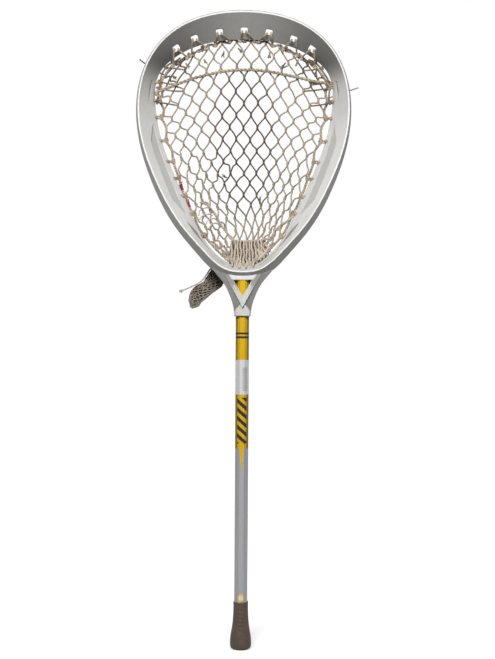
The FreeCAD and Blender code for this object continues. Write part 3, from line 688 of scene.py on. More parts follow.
SOLID_FINISHES = {
    "head_frame": make_head_finish(),
    "shaft_tube": make_shaft_finish(),
    "butt_cap": make_cap_finish(),
    "head_screw": make_screw_finish(),
    "price_label": make_label_finish(),
    "round_sticker": make_sticker_finish(),
}
for node, finish in SOLID_FINISHES.items():
    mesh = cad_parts[node].data
    mesh.materials.clear()
    mesh.materials.append(finish)
print("finishes on solid parts:", len(SOLID_FINISHES))


# %% [markdown]
# ## Making cord
# A cord is a tube along a smooth line. The tube is built by hand instead of with a curve's
# bevel, because the laid-cord pattern needs a map with metres along the cord. Thicker
# strings get their plies as real tubes wound round each other.


# %% Lines
def waver(size):
    """Number left to chance, between minus size and size."""
    return chance.uniform(-1, 1) * size


def with_ends(points):
    """The points with one more at either end, straight on."""
    return np.vstack([2 * points[0] - points[1], points, 2 * points[-1] - points[-2]])


def stretch(p0, p1, p2, p3, t):
    """Points at shares t of the smooth stretch from p1 to p2, with its neighbours p0 and p3."""
    first = (2 * t**3 - 3 * t**2 + 1) * p1 + (t**3 - 2 * t**2 + t) * (p2 - p0) / 2
    return first + (3 * t**2 - 2 * t**3) * p2 + (t**3 - t**2) * (p3 - p1) / 2


def smooth_line(points, step):
    """Curve through given points, in steps of about a given length."""
    points = np.asarray(points, float)
    padded = with_ends(points)
    pieces = []
    for p0, p1, p2, p3 in zip(padded, padded[1:], padded[2:], padded[3:]):
        count = max(2, math.ceil(np.linalg.norm(p2 - p1) / step))
        t = np.linspace(0, 1, count, endpoint=False)[:, None]
        pieces.append(stretch(p0, p1, p2, p3, t))
    return np.vstack([*pieces, points[-1:]])


def travelled(line):
    """Distance along a line to each of its points."""
    return np.concatenate([[0.0], np.cumsum(np.linalg.norm(np.diff(line, axis=0), axis=1))])


def unit(vectors):
    """One vector, or each of a list of vectors, at a length of 1."""
    return vectors / np.linalg.norm(vectors, axis=-1, keepdims=True)


def sideways(line):
    """Two directions square to the line at each point, which don't spin along it."""
    ahead = unit(np.gradient(line, axis=0))
    side = np.array((0.0, 1.0, 0.0) if abs(ahead[0][1]) < 0.8 else (1.0, 0.0, 0.0))
    first = np.empty_like(line)
    for i, direction in enumerate(ahead):
        side = unit(side - direction * side.dot(direction))
        first[i] = side
    return first, np.cross(ahead, first)


def plies(line, count, offset, pitch, phase=0.0):
    """Lines wound round a line, which together make a laid cord."""
    first, second = sideways(line)
    turn = travelled(line) / pitch * math.tau + phase
    wound = []
    for ply in range(count):
        angle = (turn + math.tau * ply / count)[:, None]
        wound.append(line + offset * (np.cos(angle) * first + np.sin(angle) * second))
    return wound


def laid(points, step, offset, pitch, phase=0.0):
    """Two plies wound round the smooth line through given points."""
    return plies(smooth_line(points, step), 2, offset, pitch, phase)


# %% [markdown]
# One function turns any number of lines into one mesh of closed tubes with its map.


# %% Tubes
def smooth_mesh(name, corners, faces):
    mesh = bpy.data.meshes.new(name)
    mesh.from_pydata(corners, [], faces)
    mesh.polygons.foreach_set("use_smooth", [True] * len(faces))
    return mesh


def tube_mesh(name, lines, radius, sides):
    """Mesh of closed tubes, mapped with a share of a turn and metres along."""
    corners, faces, maps = [], [], []
    base = 0
    angles = math.tau * np.arange(sides) / sides
    for line in lines:
        first, second = sideways(line)
        ring = np.cos(angles)[:, None] * first[:, None] + np.sin(angles)[:, None] * second[:, None]
        corners.append((line[:, None] + ring * radius).reshape(-1, 3))
        far = travelled(line)
        rows = len(line)
        for i in range(rows - 1):
            low = base + i * sides
            high = low + sides
            for j in range(sides):
                k = (j + 1) % sides
                faces.append((low + j, low + k, high + k, high + j))
                u, w = j / sides, (j + 1) / sides
                maps.extend((u, far[i], w, far[i], w, far[i + 1], u, far[i + 1]))
        last = base + (rows - 1) * sides
        faces.append(tuple(range(base + sides - 1, base - 1, -1)))
        faces.append(tuple(range(last, last + sides)))
        maps.extend([0.0, far[0]] * sides + [0.0, far[-1]] * sides)
        base += rows * sides
    mesh = smooth_mesh(name, np.vstack(corners).tolist(), faces)
    mesh.uv_layers.new(name="cord_map").data.foreach_set("uv", maps)
    return mesh


def add_piece(name, mesh, finish, body):
    """Object of a mesh in its finish, riding on a body."""
    mesh.materials.append(finish)
    piece = bpy.data.objects.new(name, mesh)
    bpy.context.scene.collection.objects.link(piece)
    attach(piece, body)
    return piece


def cord_piece(name, lines, radius, finish, body="stick", sides=8):
    """Object made of cords, riding on a body."""
    piece = add_piece(name, tube_mesh(name, lines, radius, sides), finish, body)
    print(f"{name}: {len(lines)} cords, {sum(travelled(line)[-1] for line in lines):.2f} m")
    return piece


# %% [markdown]
# ## The shape of the pocket
# The net hangs from the scoop, follows both rails and drops into a deep bag low down. Rows
# of five numbers give its edge and its middle, and everything that belongs to the net asks
# this surface where it is. The surface is measured by arc length, because real net has
# cells of one size, however the bag slopes.

# %% Pocket surface
POCKET_ROWS = np.array((
    # edge height, edge half width, edge depth, middle height, middle depth
    (0.9810, 0.1255, 0.0250, 1.0260, 0.0185),
    (0.9500, 0.1380, 0.0310, 0.9850, 0.0260),
    (0.8990, 0.1360, 0.0355, 0.9210, 0.0420),
    (0.8590, 0.1275, 0.0360, 0.8630, 0.0620),
    (0.8120, 0.1120, 0.0345, 0.8180, 0.0880),
    (0.7635, 0.0960, 0.0325, 0.7775, 0.1160),
    (0.7275, 0.0790, 0.0305, 0.7435, 0.1300),
    (0.6970, 0.0645, 0.0285, 0.7095, 0.1260),
    (0.6750, 0.0485, 0.0275, 0.6830, 0.1020),
    (0.6610, 0.0340, 0.0270, 0.6640, 0.0660),
    (0.6520, 0.0220, 0.0270, 0.6525, 0.0340),
))
ACROSS_STEPS = 96
DOWN_STEPS = 240
# how the depth and the height of a row go over from its edges to its middle
BAG_WIDTH = 2.2
BAG_FLATNESS = 1.3


def pocket_rows_smooth():
    """The rows with many more in between."""
    last = len(POCKET_ROWS) - 1
    padded = with_ends(POCKET_ROWS)
    wanted = np.linspace(0, last, DOWN_STEPS + 1)
    low = np.minimum(wanted.astype(int), last - 1)
    return stretch(*(padded[low + i] for i in range(4)), (wanted - low)[:, None])


def resampled(table, far, count):
    """The rows of a table at even steps of a distance."""
    wanted = np.linspace(0, far[-1], count)
    return np.stack([np.interp(wanted, far, column) for column in table.T], axis=1)


def even_steps(points, count):
    """The same line with its points at even distances."""
    return resampled(points, travelled(points), count)


def pocket_grid():
    """Points of the pocket, even down the middle and even across each row."""
    rows = pocket_rows_smooth()
    far = travelled(rows[:, 3:])
    s = np.linspace(-1, 1, 4 * ACROSS_STEPS + 1)
    share = (1 - np.abs(s) ** BAG_WIDTH) ** BAG_FLATNESS
    grid = []
    for edge_z, edge_x, edge_y, middle_z, middle_y in resampled(rows, far, DOWN_STEPS + 1):
        depth = edge_y + (middle_y - edge_y) * share
        height = edge_z + (middle_z - edge_z) * (1 - s * s)
        grid.append(even_steps(np.stack([edge_x * s, depth, height], axis=1), ACROSS_STEPS + 1))
    return np.array(grid), far[-1]


POCKET, POCKET_LENGTH = pocket_grid()
print("length of the pocket down its middle:", round(POCKET_LENGTH, 3), "m")


def on_pocket(across, down):
    """Point at a share across, 0 to 1, and metres down the middle."""
    j = min(max(across, 0.0), 1.0) * ACROSS_STEPS
    i = min(max(down / POCKET_LENGTH, 0.0), 1.0) * DOWN_STEPS
    i0, j0 = min(int(i), DOWN_STEPS - 1), min(int(j), ACROSS_STEPS - 1)
    a, b = i - i0, j - j0
    upper = POCKET[i0, j0] * (1 - b) + POCKET[i0, j0 + 1] * b
    lower = POCKET[i0 + 1, j0] * (1 - b) + POCKET[i0 + 1, j0 + 1] * b
    return upper * (1 - a) + lower * a


def pocket_axes(across, down):
    """Point on the pocket, the way down it, the way across it and the way out at its back."""
    reach = 0.003
    down = min(max(down, reach), POCKET_LENGTH - reach)
    way_down = unit(on_pocket(across, down + reach) - on_pocket(across, down - reach))
    wide = min(max(across, 0.02), 0.98)
    way_across = on_pocket(wide + 0.01, down) - on_pocket(wide - 0.01, down)
    way_across = unit(way_across - way_down * way_across.dot(way_down))
    return way_down, way_across, np.cross(way_down, way_across)


def pocket_front(x, height):
    """Depth of the pocket at a place given in front view."""
    spread = np.abs(POCKET[:, :, 0] - x) + np.abs(POCKET[:, :, 2] - height)
    return POCKET.reshape(-1, 3)[spread.argmin()][1]


def share_at(x, down):
    """Share across the pocket at a distance from the middle, metres down."""
    row = POCKET[min(int(down / POCKET_LENGTH * DOWN_STEPS), DOWN_STEPS)]
    return float(np.interp(x, row[:, 0], np.linspace(0, 1, ACROSS_STEPS + 1)))


# %% [markdown]
# ## The net
# The net is knotless: at every joint two cords twist half a turn round each other and go
# on. Followed by eye, each cord runs down the net on a slant and turns back at the edge.
# The rows sag towards the rails, which leans the outer cells over. Low down the middle
# columns are drawn together into a bundle, and the outer ones hang beside it in tall cells.

# %% Lattice of the net
NET_COLUMNS = 11
NET_HALF_ROW = 0.0210
NET_CELL_ROWS = 16
NET_ROWS = 20
GATHER_HALF_ROW = 0.026
EDGE_SAG = 0.018
NET_RADIUS = 1.35 * MILLIMETRE
JOINT_HALF = 0.0042
GATHER_FROM_ROW = 13
GATHERED = (0.33, 0.67)
BUNDLE_TOP_SPAN = (-0.019, 0.030)
BUNDLE_FOOT_SPAN = (-0.020, 0.0355)
LOOSE_ACROSS = 0.00385
LOOSE_DOWN = 0.0013


def row_down(row):
    """Metres down the middle of the net to a row."""
    if row <= NET_CELL_ROWS:
        return row * NET_HALF_ROW
    return NET_CELL_ROWS * NET_HALF_ROW + (row - NET_CELL_ROWS) * GATHER_HALF_ROW


def gathered_shares(row, down):
    """Shares across where the gathered columns begin and end in a row."""
    drawn = min(max((row - GATHER_FROM_ROW) / (NET_CELL_ROWS - GATHER_FROM_ROW), 0.0), 1.0) ** 1.5
    bundle = [share_at(x * (1 - 0.2 * (row > NET_CELL_ROWS)), down) for x in BUNDLE_TOP_SPAN]
    return [free + (tight - free) * drawn for free, tight in zip(GATHERED, bundle)]


def net_lattice():
    """Share across and metres down of every joint, by half column and row."""
    lattice = {}
    for row in range(-1, NET_ROWS + 1):
        low, high = gathered_shares(row, row_down(max(row, 0)))
        for half in range(2 * NET_COLUMNS + 1):
            share = half / (2 * NET_COLUMNS)
            loose = LOOSE_ACROSS if 0.02 < share < 0.98 else 0.0
            across = float(np.interp(share, (0, *GATHERED, 1), (0, low, high, 1)))
            across += waver(loose)
            down = row_down(row) + EDGE_SAG * abs(2 * share - 1) ** 3
            down += waver(LOOSE_DOWN)
            lattice[half, row] = (across, min(max(down, 0.0), POCKET_LENGTH - 0.001))
    return lattice


LATTICE = net_lattice()

# %% [markdown]
# Each joint adds a few points to the cord that crosses it: in at one side, over or under
# its partner, out at the other side. Between joints one loose point lets the cord bow, more
# so low down, and most on the left where the bag hangs slack.

# %% Cords of the net
SLACK_LEFT = (0.42, 0.20, 0.0040)
SLACK_RIGHT = (0.68, 0.24, 0.0026)
TIGHT = 0.0009
# the last points of each cord: how far in towards the middle, depth and height
FOOT_TUCK = ((0.92, 0.0290, 0.6475), (0.86, 0.0265, 0.6370))


def joint_points(half, row, heading):
    """Points of a cord through a joint; heading is 1 to the right, -1 to the left, 0 at an edge."""
    across, down = LATTICE[half, row]
    centre = on_pocket(across, down)
    way_down, way_across, outwards = pocket_axes(across, down)
    length = JOINT_HALF * (1.0 if row <= NET_CELL_ROWS else 1.5)
    points = []
    for t in (-1.0, -0.5, 0.0, 0.5, 1.0):
        angle = math.pi * (t + 1) / 2
        side = -math.cos(angle) * heading
        rise = math.sin(angle) * heading
        offset = (way_across * side + outwards * rise) * NET_RADIUS * 0.95
        points.append(centre + way_down * (t * length) + offset)
    return points


def slack_at(across, down):
    """How far a cord may bow between two joints."""
    if across < SLACK_LEFT[0] and down > SLACK_LEFT[1]:
        return SLACK_LEFT[2]
    if across > SLACK_RIGHT[0] and down > SLACK_RIGHT[1]:
        return SLACK_RIGHT[2]
    return TIGHT


def net_cord(start):
    """One cord of the net from top to foot."""
    period = 4 * NET_COLUMNS
    points = []
    for row in range(-1, NET_ROWS + 1):
        place_now = (start + row) % period
        half = 2 * NET_COLUMNS - abs(2 * NET_COLUMNS - place_now)
        rising = place_now < 2 * NET_COLUMNS
        heading = 0 if half in (0, 2 * NET_COLUMNS) else 1 if rising else -1
        joint = joint_points(half, row, heading)
        if points:
            across, down = LATTICE[half, row]
            bow = slack_at(across, down)
            middle = (points[-1] + joint[0]) / 2
            shift = [chance.uniform(-bow, bow) for _ in range(3)]
            points.append(middle + np.multiply(shift, (1.0, 0.6, 1.0)))
        points.extend(joint)
    foot_x = points[-1][0]
    points.extend((foot_x * inwards, depth, height) for inwards, depth, height in FOOT_TUCK)
    return smooth_line(points, 0.0022)


net_lines = [net_cord(2 * k) for k in range(2 * NET_COLUMNS)]
net = cord_piece("net_pocket", net_lines, NET_RADIUS, net_finish, sides=8)
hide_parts("mesh_pocket")

# %% [markdown]
# ## The gathered foot of the net
# Where the net is drawn together, doubled cords hang side by side in front. What is bunched behind them is
# so dense that only shaded hollows show, so a row of thick rolls in painted shade stands for it. A doubled
# gathering cord runs down the net on both sides and across its top.

# %% Bundle
BUNDLE_TOP = 0.6925
BUNDLE_FOOT = 0.6455
BUNDLE_FOOT_RISE = 9.0
BUNDLE_CORDS = 11
BUNDLE_CORD_RADIUS = 0.95 * MILLIMETRE
ROLL_COUNT = 14
ROLL_RADIUS = 2.4 * MILLIMETRE
BEHIND_FOOT = 0.0275


def front_point(x, height, lift):
    """Point lifted off the net towards the front, but not as far as the foot of the ring."""
    return x, max(pocket_front(x, height) - lift, BEHIND_FOOT), height


def hanging_line(share, lift, wander):
    """Line down the bundle at a share of its width, lifted off the net towards the front."""
    top_x, foot_x = (low + (high - low) * share for low, high in (BUNDLE_TOP_SPAN, BUNDLE_FOOT_SPAN))
    foot = BUNDLE_FOOT + BUNDLE_FOOT_RISE * foot_x ** 2
    points = []
    for t in (0.0, 0.2, 0.4, 0.6, 0.8, 1.0):
        height = BUNDLE_TOP + (foot - BUNDLE_TOP) * t + waver(0.001)
        x = top_x + (foot_x - top_x) * t + waver(wander)
        points.append(front_point(x, height, lift))
    points.append((foot_x * 0.97, 0.0270, foot - 0.006))
    return smooth_line(points, 0.001)


bundle_lines = []
for i in range(BUNDLE_CORDS):
    route = hanging_line(i / (BUNDLE_CORDS - 1), 0.0045 + 0.001 * chance.random(), 0.0012)
    bundle_lines.extend(plies(route, 2, BUNDLE_CORD_RADIUS * 0.9, 0.009, chance.random() * math.tau))
cord_piece("gathered_cords", bundle_lines, BUNDLE_CORD_RADIUS, bundle_finish)

rolls = [hanging_line(-0.02 + 1.14 * i / (ROLL_COUNT - 1), -0.002, 0.0005)[3:] for i in range(ROLL_COUNT)]
# rolls in painted shade for the hollows of the bunched net
cord_piece("bunched_net_shade", rolls, ROLL_RADIUS, shade_core_finish)

# %% [markdown]
# Some cords cross the bundle at its right, and slack cells hang in arcs to its left.

# %% Gathering cord and crossing cords
GATHERING_CORD = (
    # front view: x and height
    (-0.0734, 0.7539), (-0.0617, 0.7501), (-0.0513, 0.7391), (-0.0442, 0.7274), (-0.0370, 0.7158),
    (-0.0299, 0.7075), (-0.0208, 0.6946), (-0.0085, 0.6921), (0.0092, 0.6921), (0.0266, 0.6921),
    (0.0418, 0.6926), (0.0484, 0.6943), (0.0561, 0.7072), (0.0661, 0.7156), (0.0738, 0.7202),
    (0.0841, 0.7280), (0.0905, 0.7387),
)
CROSSING_CORDS = (
    ((0.0317, 0.6804), (0.0441, 0.6575)),
    ((0.0306, 0.6593), (0.0449, 0.6767)),
    ((0.0368, 0.6857), (0.0470, 0.6682)),
    ((0.0250, 0.6740), (0.0380, 0.6560)),
)
SLACK_ARCS = (
    ((-0.0756, 0.7300), (-0.0734, 0.7401), (-0.0620, 0.7463), (-0.0527, 0.7422)),
    ((-0.0740, 0.7231), (-0.0703, 0.7292), (-0.0590, 0.7354), (-0.0538, 0.7334)),
    ((-0.0636, 0.7160), (-0.0599, 0.7237), (-0.0498, 0.7284), (-0.0430, 0.7223)),
    ((-0.0593, 0.7082), (-0.0533, 0.7178), (-0.0457, 0.7205), (-0.0389, 0.7144)),
)


def front_line(route, lift):
    """Line on the net, through places given in front view."""
    return smooth_line([front_point(x, z, lift) for x, z in route], 0.001)


gathering = plies(front_line(GATHERING_CORD, 0.0045), 2, 0.0011, 0.009)
for first, last in CROSSING_CORDS:
    middle = tuple((a + b) / 2 + waver(0.001) for a, b in zip(first, last))
    gathering.extend(plies(front_line((first, middle, last), 0.006), 2, 0.0008, 0.008))
gathering.extend(front_line(arc, 0.002) for arc in SLACK_ARCS)
cord_piece("gathering_cords", gathering, 1.05 * MILLIMETRE, bundle_finish)


# %% [markdown]
# ## Knots and frayed ends
# A trefoil curve, drawn small and fat, looks like a pulled-tight knot from any side. A
# frayed end is a fan of thin fibres.


# %% Knots and tufts
def knot_line(centre, size, tilt):
    """Small trefoil round a centre."""
    t = np.linspace(0, math.tau, 40)
    x, z = np.sin(t) + 2 * np.sin(2 * t), np.cos(t) - 2 * np.cos(2 * t)
    cos, sin = math.cos(tilt), math.sin(tilt)
    turned = np.stack([x * cos - z * sin, -np.sin(3 * t) * 1.4, x * sin + z * cos], axis=1)
    return np.asarray(centre) + turned * size / 3


def any_knot(centre, size):
    """Knot with its turn left to chance."""
    return knot_line(centre, size, chance.random() * math.tau)


def tuft_lines(start, direction, length, count=7, spread=0.35):
    """Fibres that fan out from the end of a cord."""
    direction = unit(np.asarray(direction, float))
    fibres = []
    for _ in range(count):
        lean = np.array([chance.uniform(-1, 1) for _ in range(3)]) * spread
        reach = length * chance.uniform(0.65, 1.0)
        root = np.asarray(start) + lean * 0.003
        middle = root + (direction + lean * 0.35) * reach * 0.5
        fibres.append(smooth_line([root, middle, root + (direction + lean) * reach], 0.001))
    return fibres


# %% [markdown]
# ## The strings at the sides
# A doubled string runs down each edge of the net. At every hole of the rail it is knotted
# to the net and a loop goes out through the hole and back.

# %% Side strings
SIDE_HOLES = (
    # distance from the middle, depth and height of the holes in a rail
    (0.1509, 0.0245, 0.955),
    (0.1533, 0.0273, 0.925),
    (0.1504, 0.0287, 0.896),
    (0.1422, 0.0283, 0.857),
    (0.1296, 0.0270, 0.821),
    (0.1176, 0.0257, 0.792),
    (0.1043, 0.0245, 0.762),
    (0.0903, 0.0231, 0.732),
    (0.0706, 0.0207, 0.694),
)
SIDE_CORD_RADIUS = 1.15 * MILLIMETRE
LOW_SHIFT = 0.0035
LOW_BELOW = 0.83
LAST_SLACK = 0.70
SLACK_DROP = 0.016
HOLE_PULL = 0.3
STRING_TOP = 0.9795
STRING_FOOT = (0.664, 0.6535)
SIDES = {"left": -1.0, "right": 1.0}


def net_edge(sign, height):
    """Point of the net's edge at a height; sign is -1 at the left and 1 at the right."""
    edge = POCKET[:, 0 if sign < 0 else ACROSS_STEPS]
    order = edge[:, 2].argsort()
    return np.array([np.interp(height, edge[order, 2], edge[order, axis]) for axis in range(3)])


def side_string(sign):
    """Doubled string down the edge, pulled a little towards each hole."""
    points = [net_edge(sign, STRING_TOP)]
    for x, y, z in SIDE_HOLES:
        edge = net_edge(sign, z)
        points.append(edge + ((sign * x, y, z) - edge) * HOLE_PULL)
        if z > LAST_SLACK:
            outward = LOW_SHIFT if z < LOW_BELOW else 0.0
            shift = (sign * outward + waver(0.0008), 0.0, -0.4 * outward)
            points.append(net_edge(sign, z - SLACK_DROP) + shift)
    points.extend(net_edge(sign, height) for height in STRING_FOOT)
    return smooth_line(points, 0.0009)


def side_bridges(sign):
    """Loops out to the holes, and the knots that hold them to the net."""
    bridges = []
    for x, y, z in SIDE_HOLES:
        edge = net_edge(sign, z)
        hole = np.array([sign * x, y, z])
        pull = hole - edge
        knot = edge + pull * HOLE_PULL
        for rise in (-1.0, 1.0):
            lift = np.array([0.0, 0.0, rise * 0.0010])
            middle = edge + pull * 0.62 + lift * 1.6 + (0.0, 0.0, waver(0.0008))
            bridges.append(smooth_line([knot, middle, hole + lift, hole + pull * 0.28 + lift], 0.001))
        bridges.append(any_knot(knot, 0.0034))
        bridges.append(any_knot(knot + (0, -0.0010, 0.0034), 0.0026))
        bridges.append(any_knot(edge + pull * 0.86, 0.0022))
    return bridges


SIDE_STRINGS = {side: side_string(sign) for side, sign in SIDES.items()}
for side, sign in SIDES.items():
    lines = plies(SIDE_STRINGS[side], 2, SIDE_CORD_RADIUS * 1.1, 0.0085) + side_bridges(sign)
    piece = cord_piece(f"side_string_{side}", lines, SIDE_CORD_RADIUS, lace_finish)
    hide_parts(f"sidewall_string_{side}")

# %% [markdown]
# ## The string at the top
# Seven square holes in the scoop each hold a loop that comes down in two legs to the net's
# top edge. One leg is tied off close to its hole, the other swings over towards the middle.
# A worn border cord winds along the edge between them.

# %% Top string
SCOOP_HALF = (
    # distance from the middle, depth and height of the holes in one half of the scoop's ramp
    (0.1142, 0.0043, 1.0096),
    (0.0833, 0.0012, 1.0257),
    (0.0417, -0.0007, 1.0361),
)
SCOOP_MIDDLE = (0.0, -0.0012, 1.0392)
SCOOP_HOLES = (*((-x, y, z) for x, y, z in SCOOP_HALF), SCOOP_MIDDLE, *reversed(SCOOP_HALF))
LEG_NEAR = 0.0058
LEG_FAR = 0.0165
TOP_CORD_RADIUS = 0.95 * MILLIMETRE
TOP_HALF = 0.1250


def top_edge(x):
    """Point of the net's top edge under a distance from the middle."""
    edge = POCKET[0]
    return np.array([np.interp(x, edge[:, 0], edge[:, axis]) for axis in range(3)])


top_lines = []
for x, y, z in SCOOP_HOLES:
    sill = np.array([x, y + 0.0005, z - 0.0040])
    inwards = 1.0 if x < 0.01 else -1.0
    for lean, reach in ((-inwards, LEG_NEAR), (inwards, LEG_FAR)):
        foot = top_edge(max(-TOP_HALF, min(TOP_HALF, x + lean * reach)))
        foot = foot + (0.0, -0.0035, -0.001 + waver(0.0015))
        start = sill + (lean * 0.0034, 0.0, 0.0)
        route = (
            sill + (lean * 0.0030, 0.0085, 0.0010),
            start + (0.0, 0.002, 0.0022),
            start - (0.0, 0.001, 0.0),
            start * 0.62 + foot * 0.38 - (0.0, 0.0050, 0.0),
            foot,
            foot + (lean * 0.0015, 0.002, -0.004),
        )
        top_lines.extend(laid(route, 0.0008, TOP_CORD_RADIUS * 0.85, 0.0055))
        top_lines.append(any_knot(foot, 0.0030))
        top_lines.append(any_knot(foot + (lean * 0.001, -0.0006, -0.003), 0.0022))
top_piece = cord_piece("top_string_loops", top_lines, TOP_CORD_RADIUS, lace_finish)
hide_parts("top_string")

BORDER_TURNS = 26
BORDER_HALF = 0.1245
BORDER_SWING = 0.0016
border_points = []
for i in range(BORDER_TURNS + 1):
    x = BORDER_HALF * (2 * i / BORDER_TURNS - 1)
    swing = (i % 2 * 2 - 1) * BORDER_SWING
    border_points.append(top_edge(x) + (0.0, swing, swing + waver(0.0012)))
border_lines = laid(border_points, 0.0009, 0.0010, 0.0075)
cord_piece("top_border_cord", border_lines, 0.95 * MILLIMETRE, worn_finish)

# %% [markdown]
# In both upper corners the border cord turns down along the rail. Short dark cords tie it to
# the outermost cells of the net, and their cut ends stick out.

# %% Corner lacing
RAIL_CORNER = (
    # distance from the middle and height of the rail's inner edge
    (0.1060, 1.0020), (0.1122, 0.9987), (0.1222, 0.9929), (0.1321, 0.9853), (0.1403, 0.9739),
    (0.1451, 0.9624), (0.1483, 0.9491), (0.1497, 0.9357), (0.1503, 0.9239),
)
CORNER_DEPTH = 0.0265
CORNER_TIES = 5
TIE_RISE = 0.004
for side, sign in SIDES.items():
    rail = np.array([(sign * x, CORNER_DEPTH, z) for x, z in RAIL_CORNER])
    towards_middle = unit((0.0, CORNER_DEPTH, 0.90) - rail)
    waves = np.array([(chance.uniform(-1, 1), 0.0, chance.uniform(-1, 1)) for _ in rail]) * 0.0014
    points = rail + towards_middle * 0.0038 + waves
    lines = laid(points[1:], 0.001, 0.0009, 0.0065)
    for row in range(CORNER_TIES):
        half = (2 + row % 2) if sign < 0 else (2 * NET_COLUMNS - 2 - row % 2)
        node = on_pocket(*LATTICE[half, row])
        height = node[2] + TIE_RISE
        x = np.interp(height, rail[::-1, 2], rail[::-1, 0]) - sign * 0.003
        nearest = np.array([x, CORNER_DEPTH, height])
        middle = (nearest + node) / 2 + (0.0, -0.001, chance.uniform(-2, 1) * 0.001)
        lines.extend(laid([nearest, middle, node], 0.001, 0.0007, 0.006, row))
        lines.append(any_knot(nearest, 0.0030))
    cord_piece(f"corner_lacing_{side}", lines, 0.9 * MILLIMETRE, worn_finish)

# %% [markdown]
# The ends of the lacing were cut short and have frayed into little brushes. A few cords of
# the net itself have snapped too.

# %% Frayed ends
FRAYED_ENDS = (
    # front view: x, height and the way the end points, sideways and up
    (-0.1225, 0.9678, 0.7, -0.8),
    (-0.0990, 0.9871, 0.6, -0.9),
    (-0.0678, 0.9936, 0.5, -1.0),
    (-0.0343, 1.0067, -0.2, -1.0),
    (-0.0100, 1.0120, 0.8, -0.8),
    (0.0437, 1.0067, -0.1, -1.0),
    (0.0700, 0.9887, -0.5, -0.6),
    (0.0918, 0.9936, -0.3, -1.0),
    (0.1231, 0.9771, -0.2, -1.0),
    (-0.0284, 0.8005, -0.8, 0.5),
    (0.0290, 0.7578, -0.1, 1.0),
)
tufts = []
for x, z, aside, up in FRAYED_ENDS:
    start = (x, pocket_front(x, z) - 0.0025, z)
    tufts.extend(tuft_lines(start, (aside, -0.2, up), chance.uniform(0.009, 0.012), 11, 0.24))
cord_piece("frayed_ends", tufts, 0.6 * MILLIMETRE, worn_finish, sides=5)

# %% [markdown]
# ## The shooting string
# One thicker, paler string of two plies lies across the front of the net. It is tied to
# both rails with a few knots.

# %% Shooting string
SHOOTER_POINTS = (
    # front view: x and height
    (-0.1500, 0.9382), (-0.1278, 0.9466), (-0.1041, 0.9558), (-0.0822, 0.9633), (-0.0585, 0.9691),
    (-0.0366, 0.9736), (-0.0128, 0.9761), (0.0180, 0.9766), (0.0502, 0.9729), (0.0760, 0.9679),
    (0.0983, 0.9632), (0.1206, 0.9583), (0.1370, 0.9555), (0.1495, 0.9507),
)
SHOOTER_RADIUS = 1.45 * MILLIMETRE
shooter_points = []
for x, z in SHOOTER_POINTS:
    depth = pocket_front(x, z) - 0.0042 if abs(x) < 0.14 else 0.0265
    shooter_points.append((x, depth, z))
shooter_lines = laid(shooter_points, 0.0009, SHOOTER_RADIUS, 0.014)
shooter = cord_piece("shooting_string_plies", shooter_lines, SHOOTER_RADIUS, shooter_finish)
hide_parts("shooting_string")

wrap_lines = []
for end, sign in ((shooter_points[0], -1.0), (shooter_points[-1], 1.0)):
    for i in range(3):
        centre = np.array(end) + (-sign * (0.001 + 0.0016 * i), 0.0002, -0.001 - 0.0022 * i)
        wrap_lines.append(knot_line(centre, 0.0034 - 0.0003 * i, 0.8 * i + chance.random()))
cord_piece("shooting_string_knots", wrap_lines, 0.95 * MILLIMETRE, lace_finish)

# %% [markdown]
# ## The string at the foot
# Holes in the foot of the ring take a pale string. Each turn comes out of its hole, goes
# over the rim and down to the gathered net behind. One more turn hooks over at either side.

# %% Foot string
FOOT_HOLES = ((-0.0175, 0.6418), (-0.0056, 0.6390), (0.0056, 0.6390), (0.0175, 0.6418))
HOOK = ((1.0, 0.0235, 0.6535), (0.97, 0.0215, 0.6558), (0.9, 0.0235, 0.6545), (0.86, 0.0290, 0.6520))
HOOK_SIDE = 0.0300
foot_lines = []
for x, z in FOOT_HOLES:
    route = (
        (x, 0.0080, z - 0.0002),
        (x, 0.0010, z + 0.0016),
        (x * 1.02, 0.0100, z + 0.0052),
        (x * 1.04, 0.0190, z + 0.0072),
        (x * 1.06, 0.0250, z + 0.0062),
        (x * 1.10, 0.0290, z + 0.0100),
    )
    foot_lines.extend(laid(route, 0.0008, 0.0008, 0.006))
for x in (-HOOK_SIDE, HOOK_SIDE):
    hook = [(x * inwards, depth, height) for inwards, depth, height in HOOK]
    foot_lines.extend(laid(hook, 0.0008, 0.0008, 0.006))
foot_piece = cord_piece("foot_string_turns", foot_lines, 0.85 * MILLIMETRE, pale_finish)
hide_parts("bottom_string")


# %% [markdown]
# ## Loose ends
# Three ends of string hang free. Their routes are the ones that the solid parts use, as the
# control points of a smooth curve, and two plies are wound round that curve.


# %% Loose ends
def route_line(name, route):
    """Smooth line of a loose end, from its given points in millimetres."""
    curve = bpy.data.curves.new(name, "CURVE")
    curve.dimensions = "3D"
    curve.resolution_u = 24
    spline = curve.splines.new("NURBS")
    spline.points.add(len(route) - 1)
    for point, place_mm in zip(spline.points, route):
        point.co = (*(value * MILLIMETRE for value in place_mm), 1.0)
    spline.use_endpoint_u = True
    spline.order_u = 3
    carrier = bpy.data.objects.new(name, curve)
    points = np.array([corner.co[:] for corner in bpy.data.meshes.new_from_object(carrier).vertices])
    bpy.data.objects.remove(carrier)
    return points


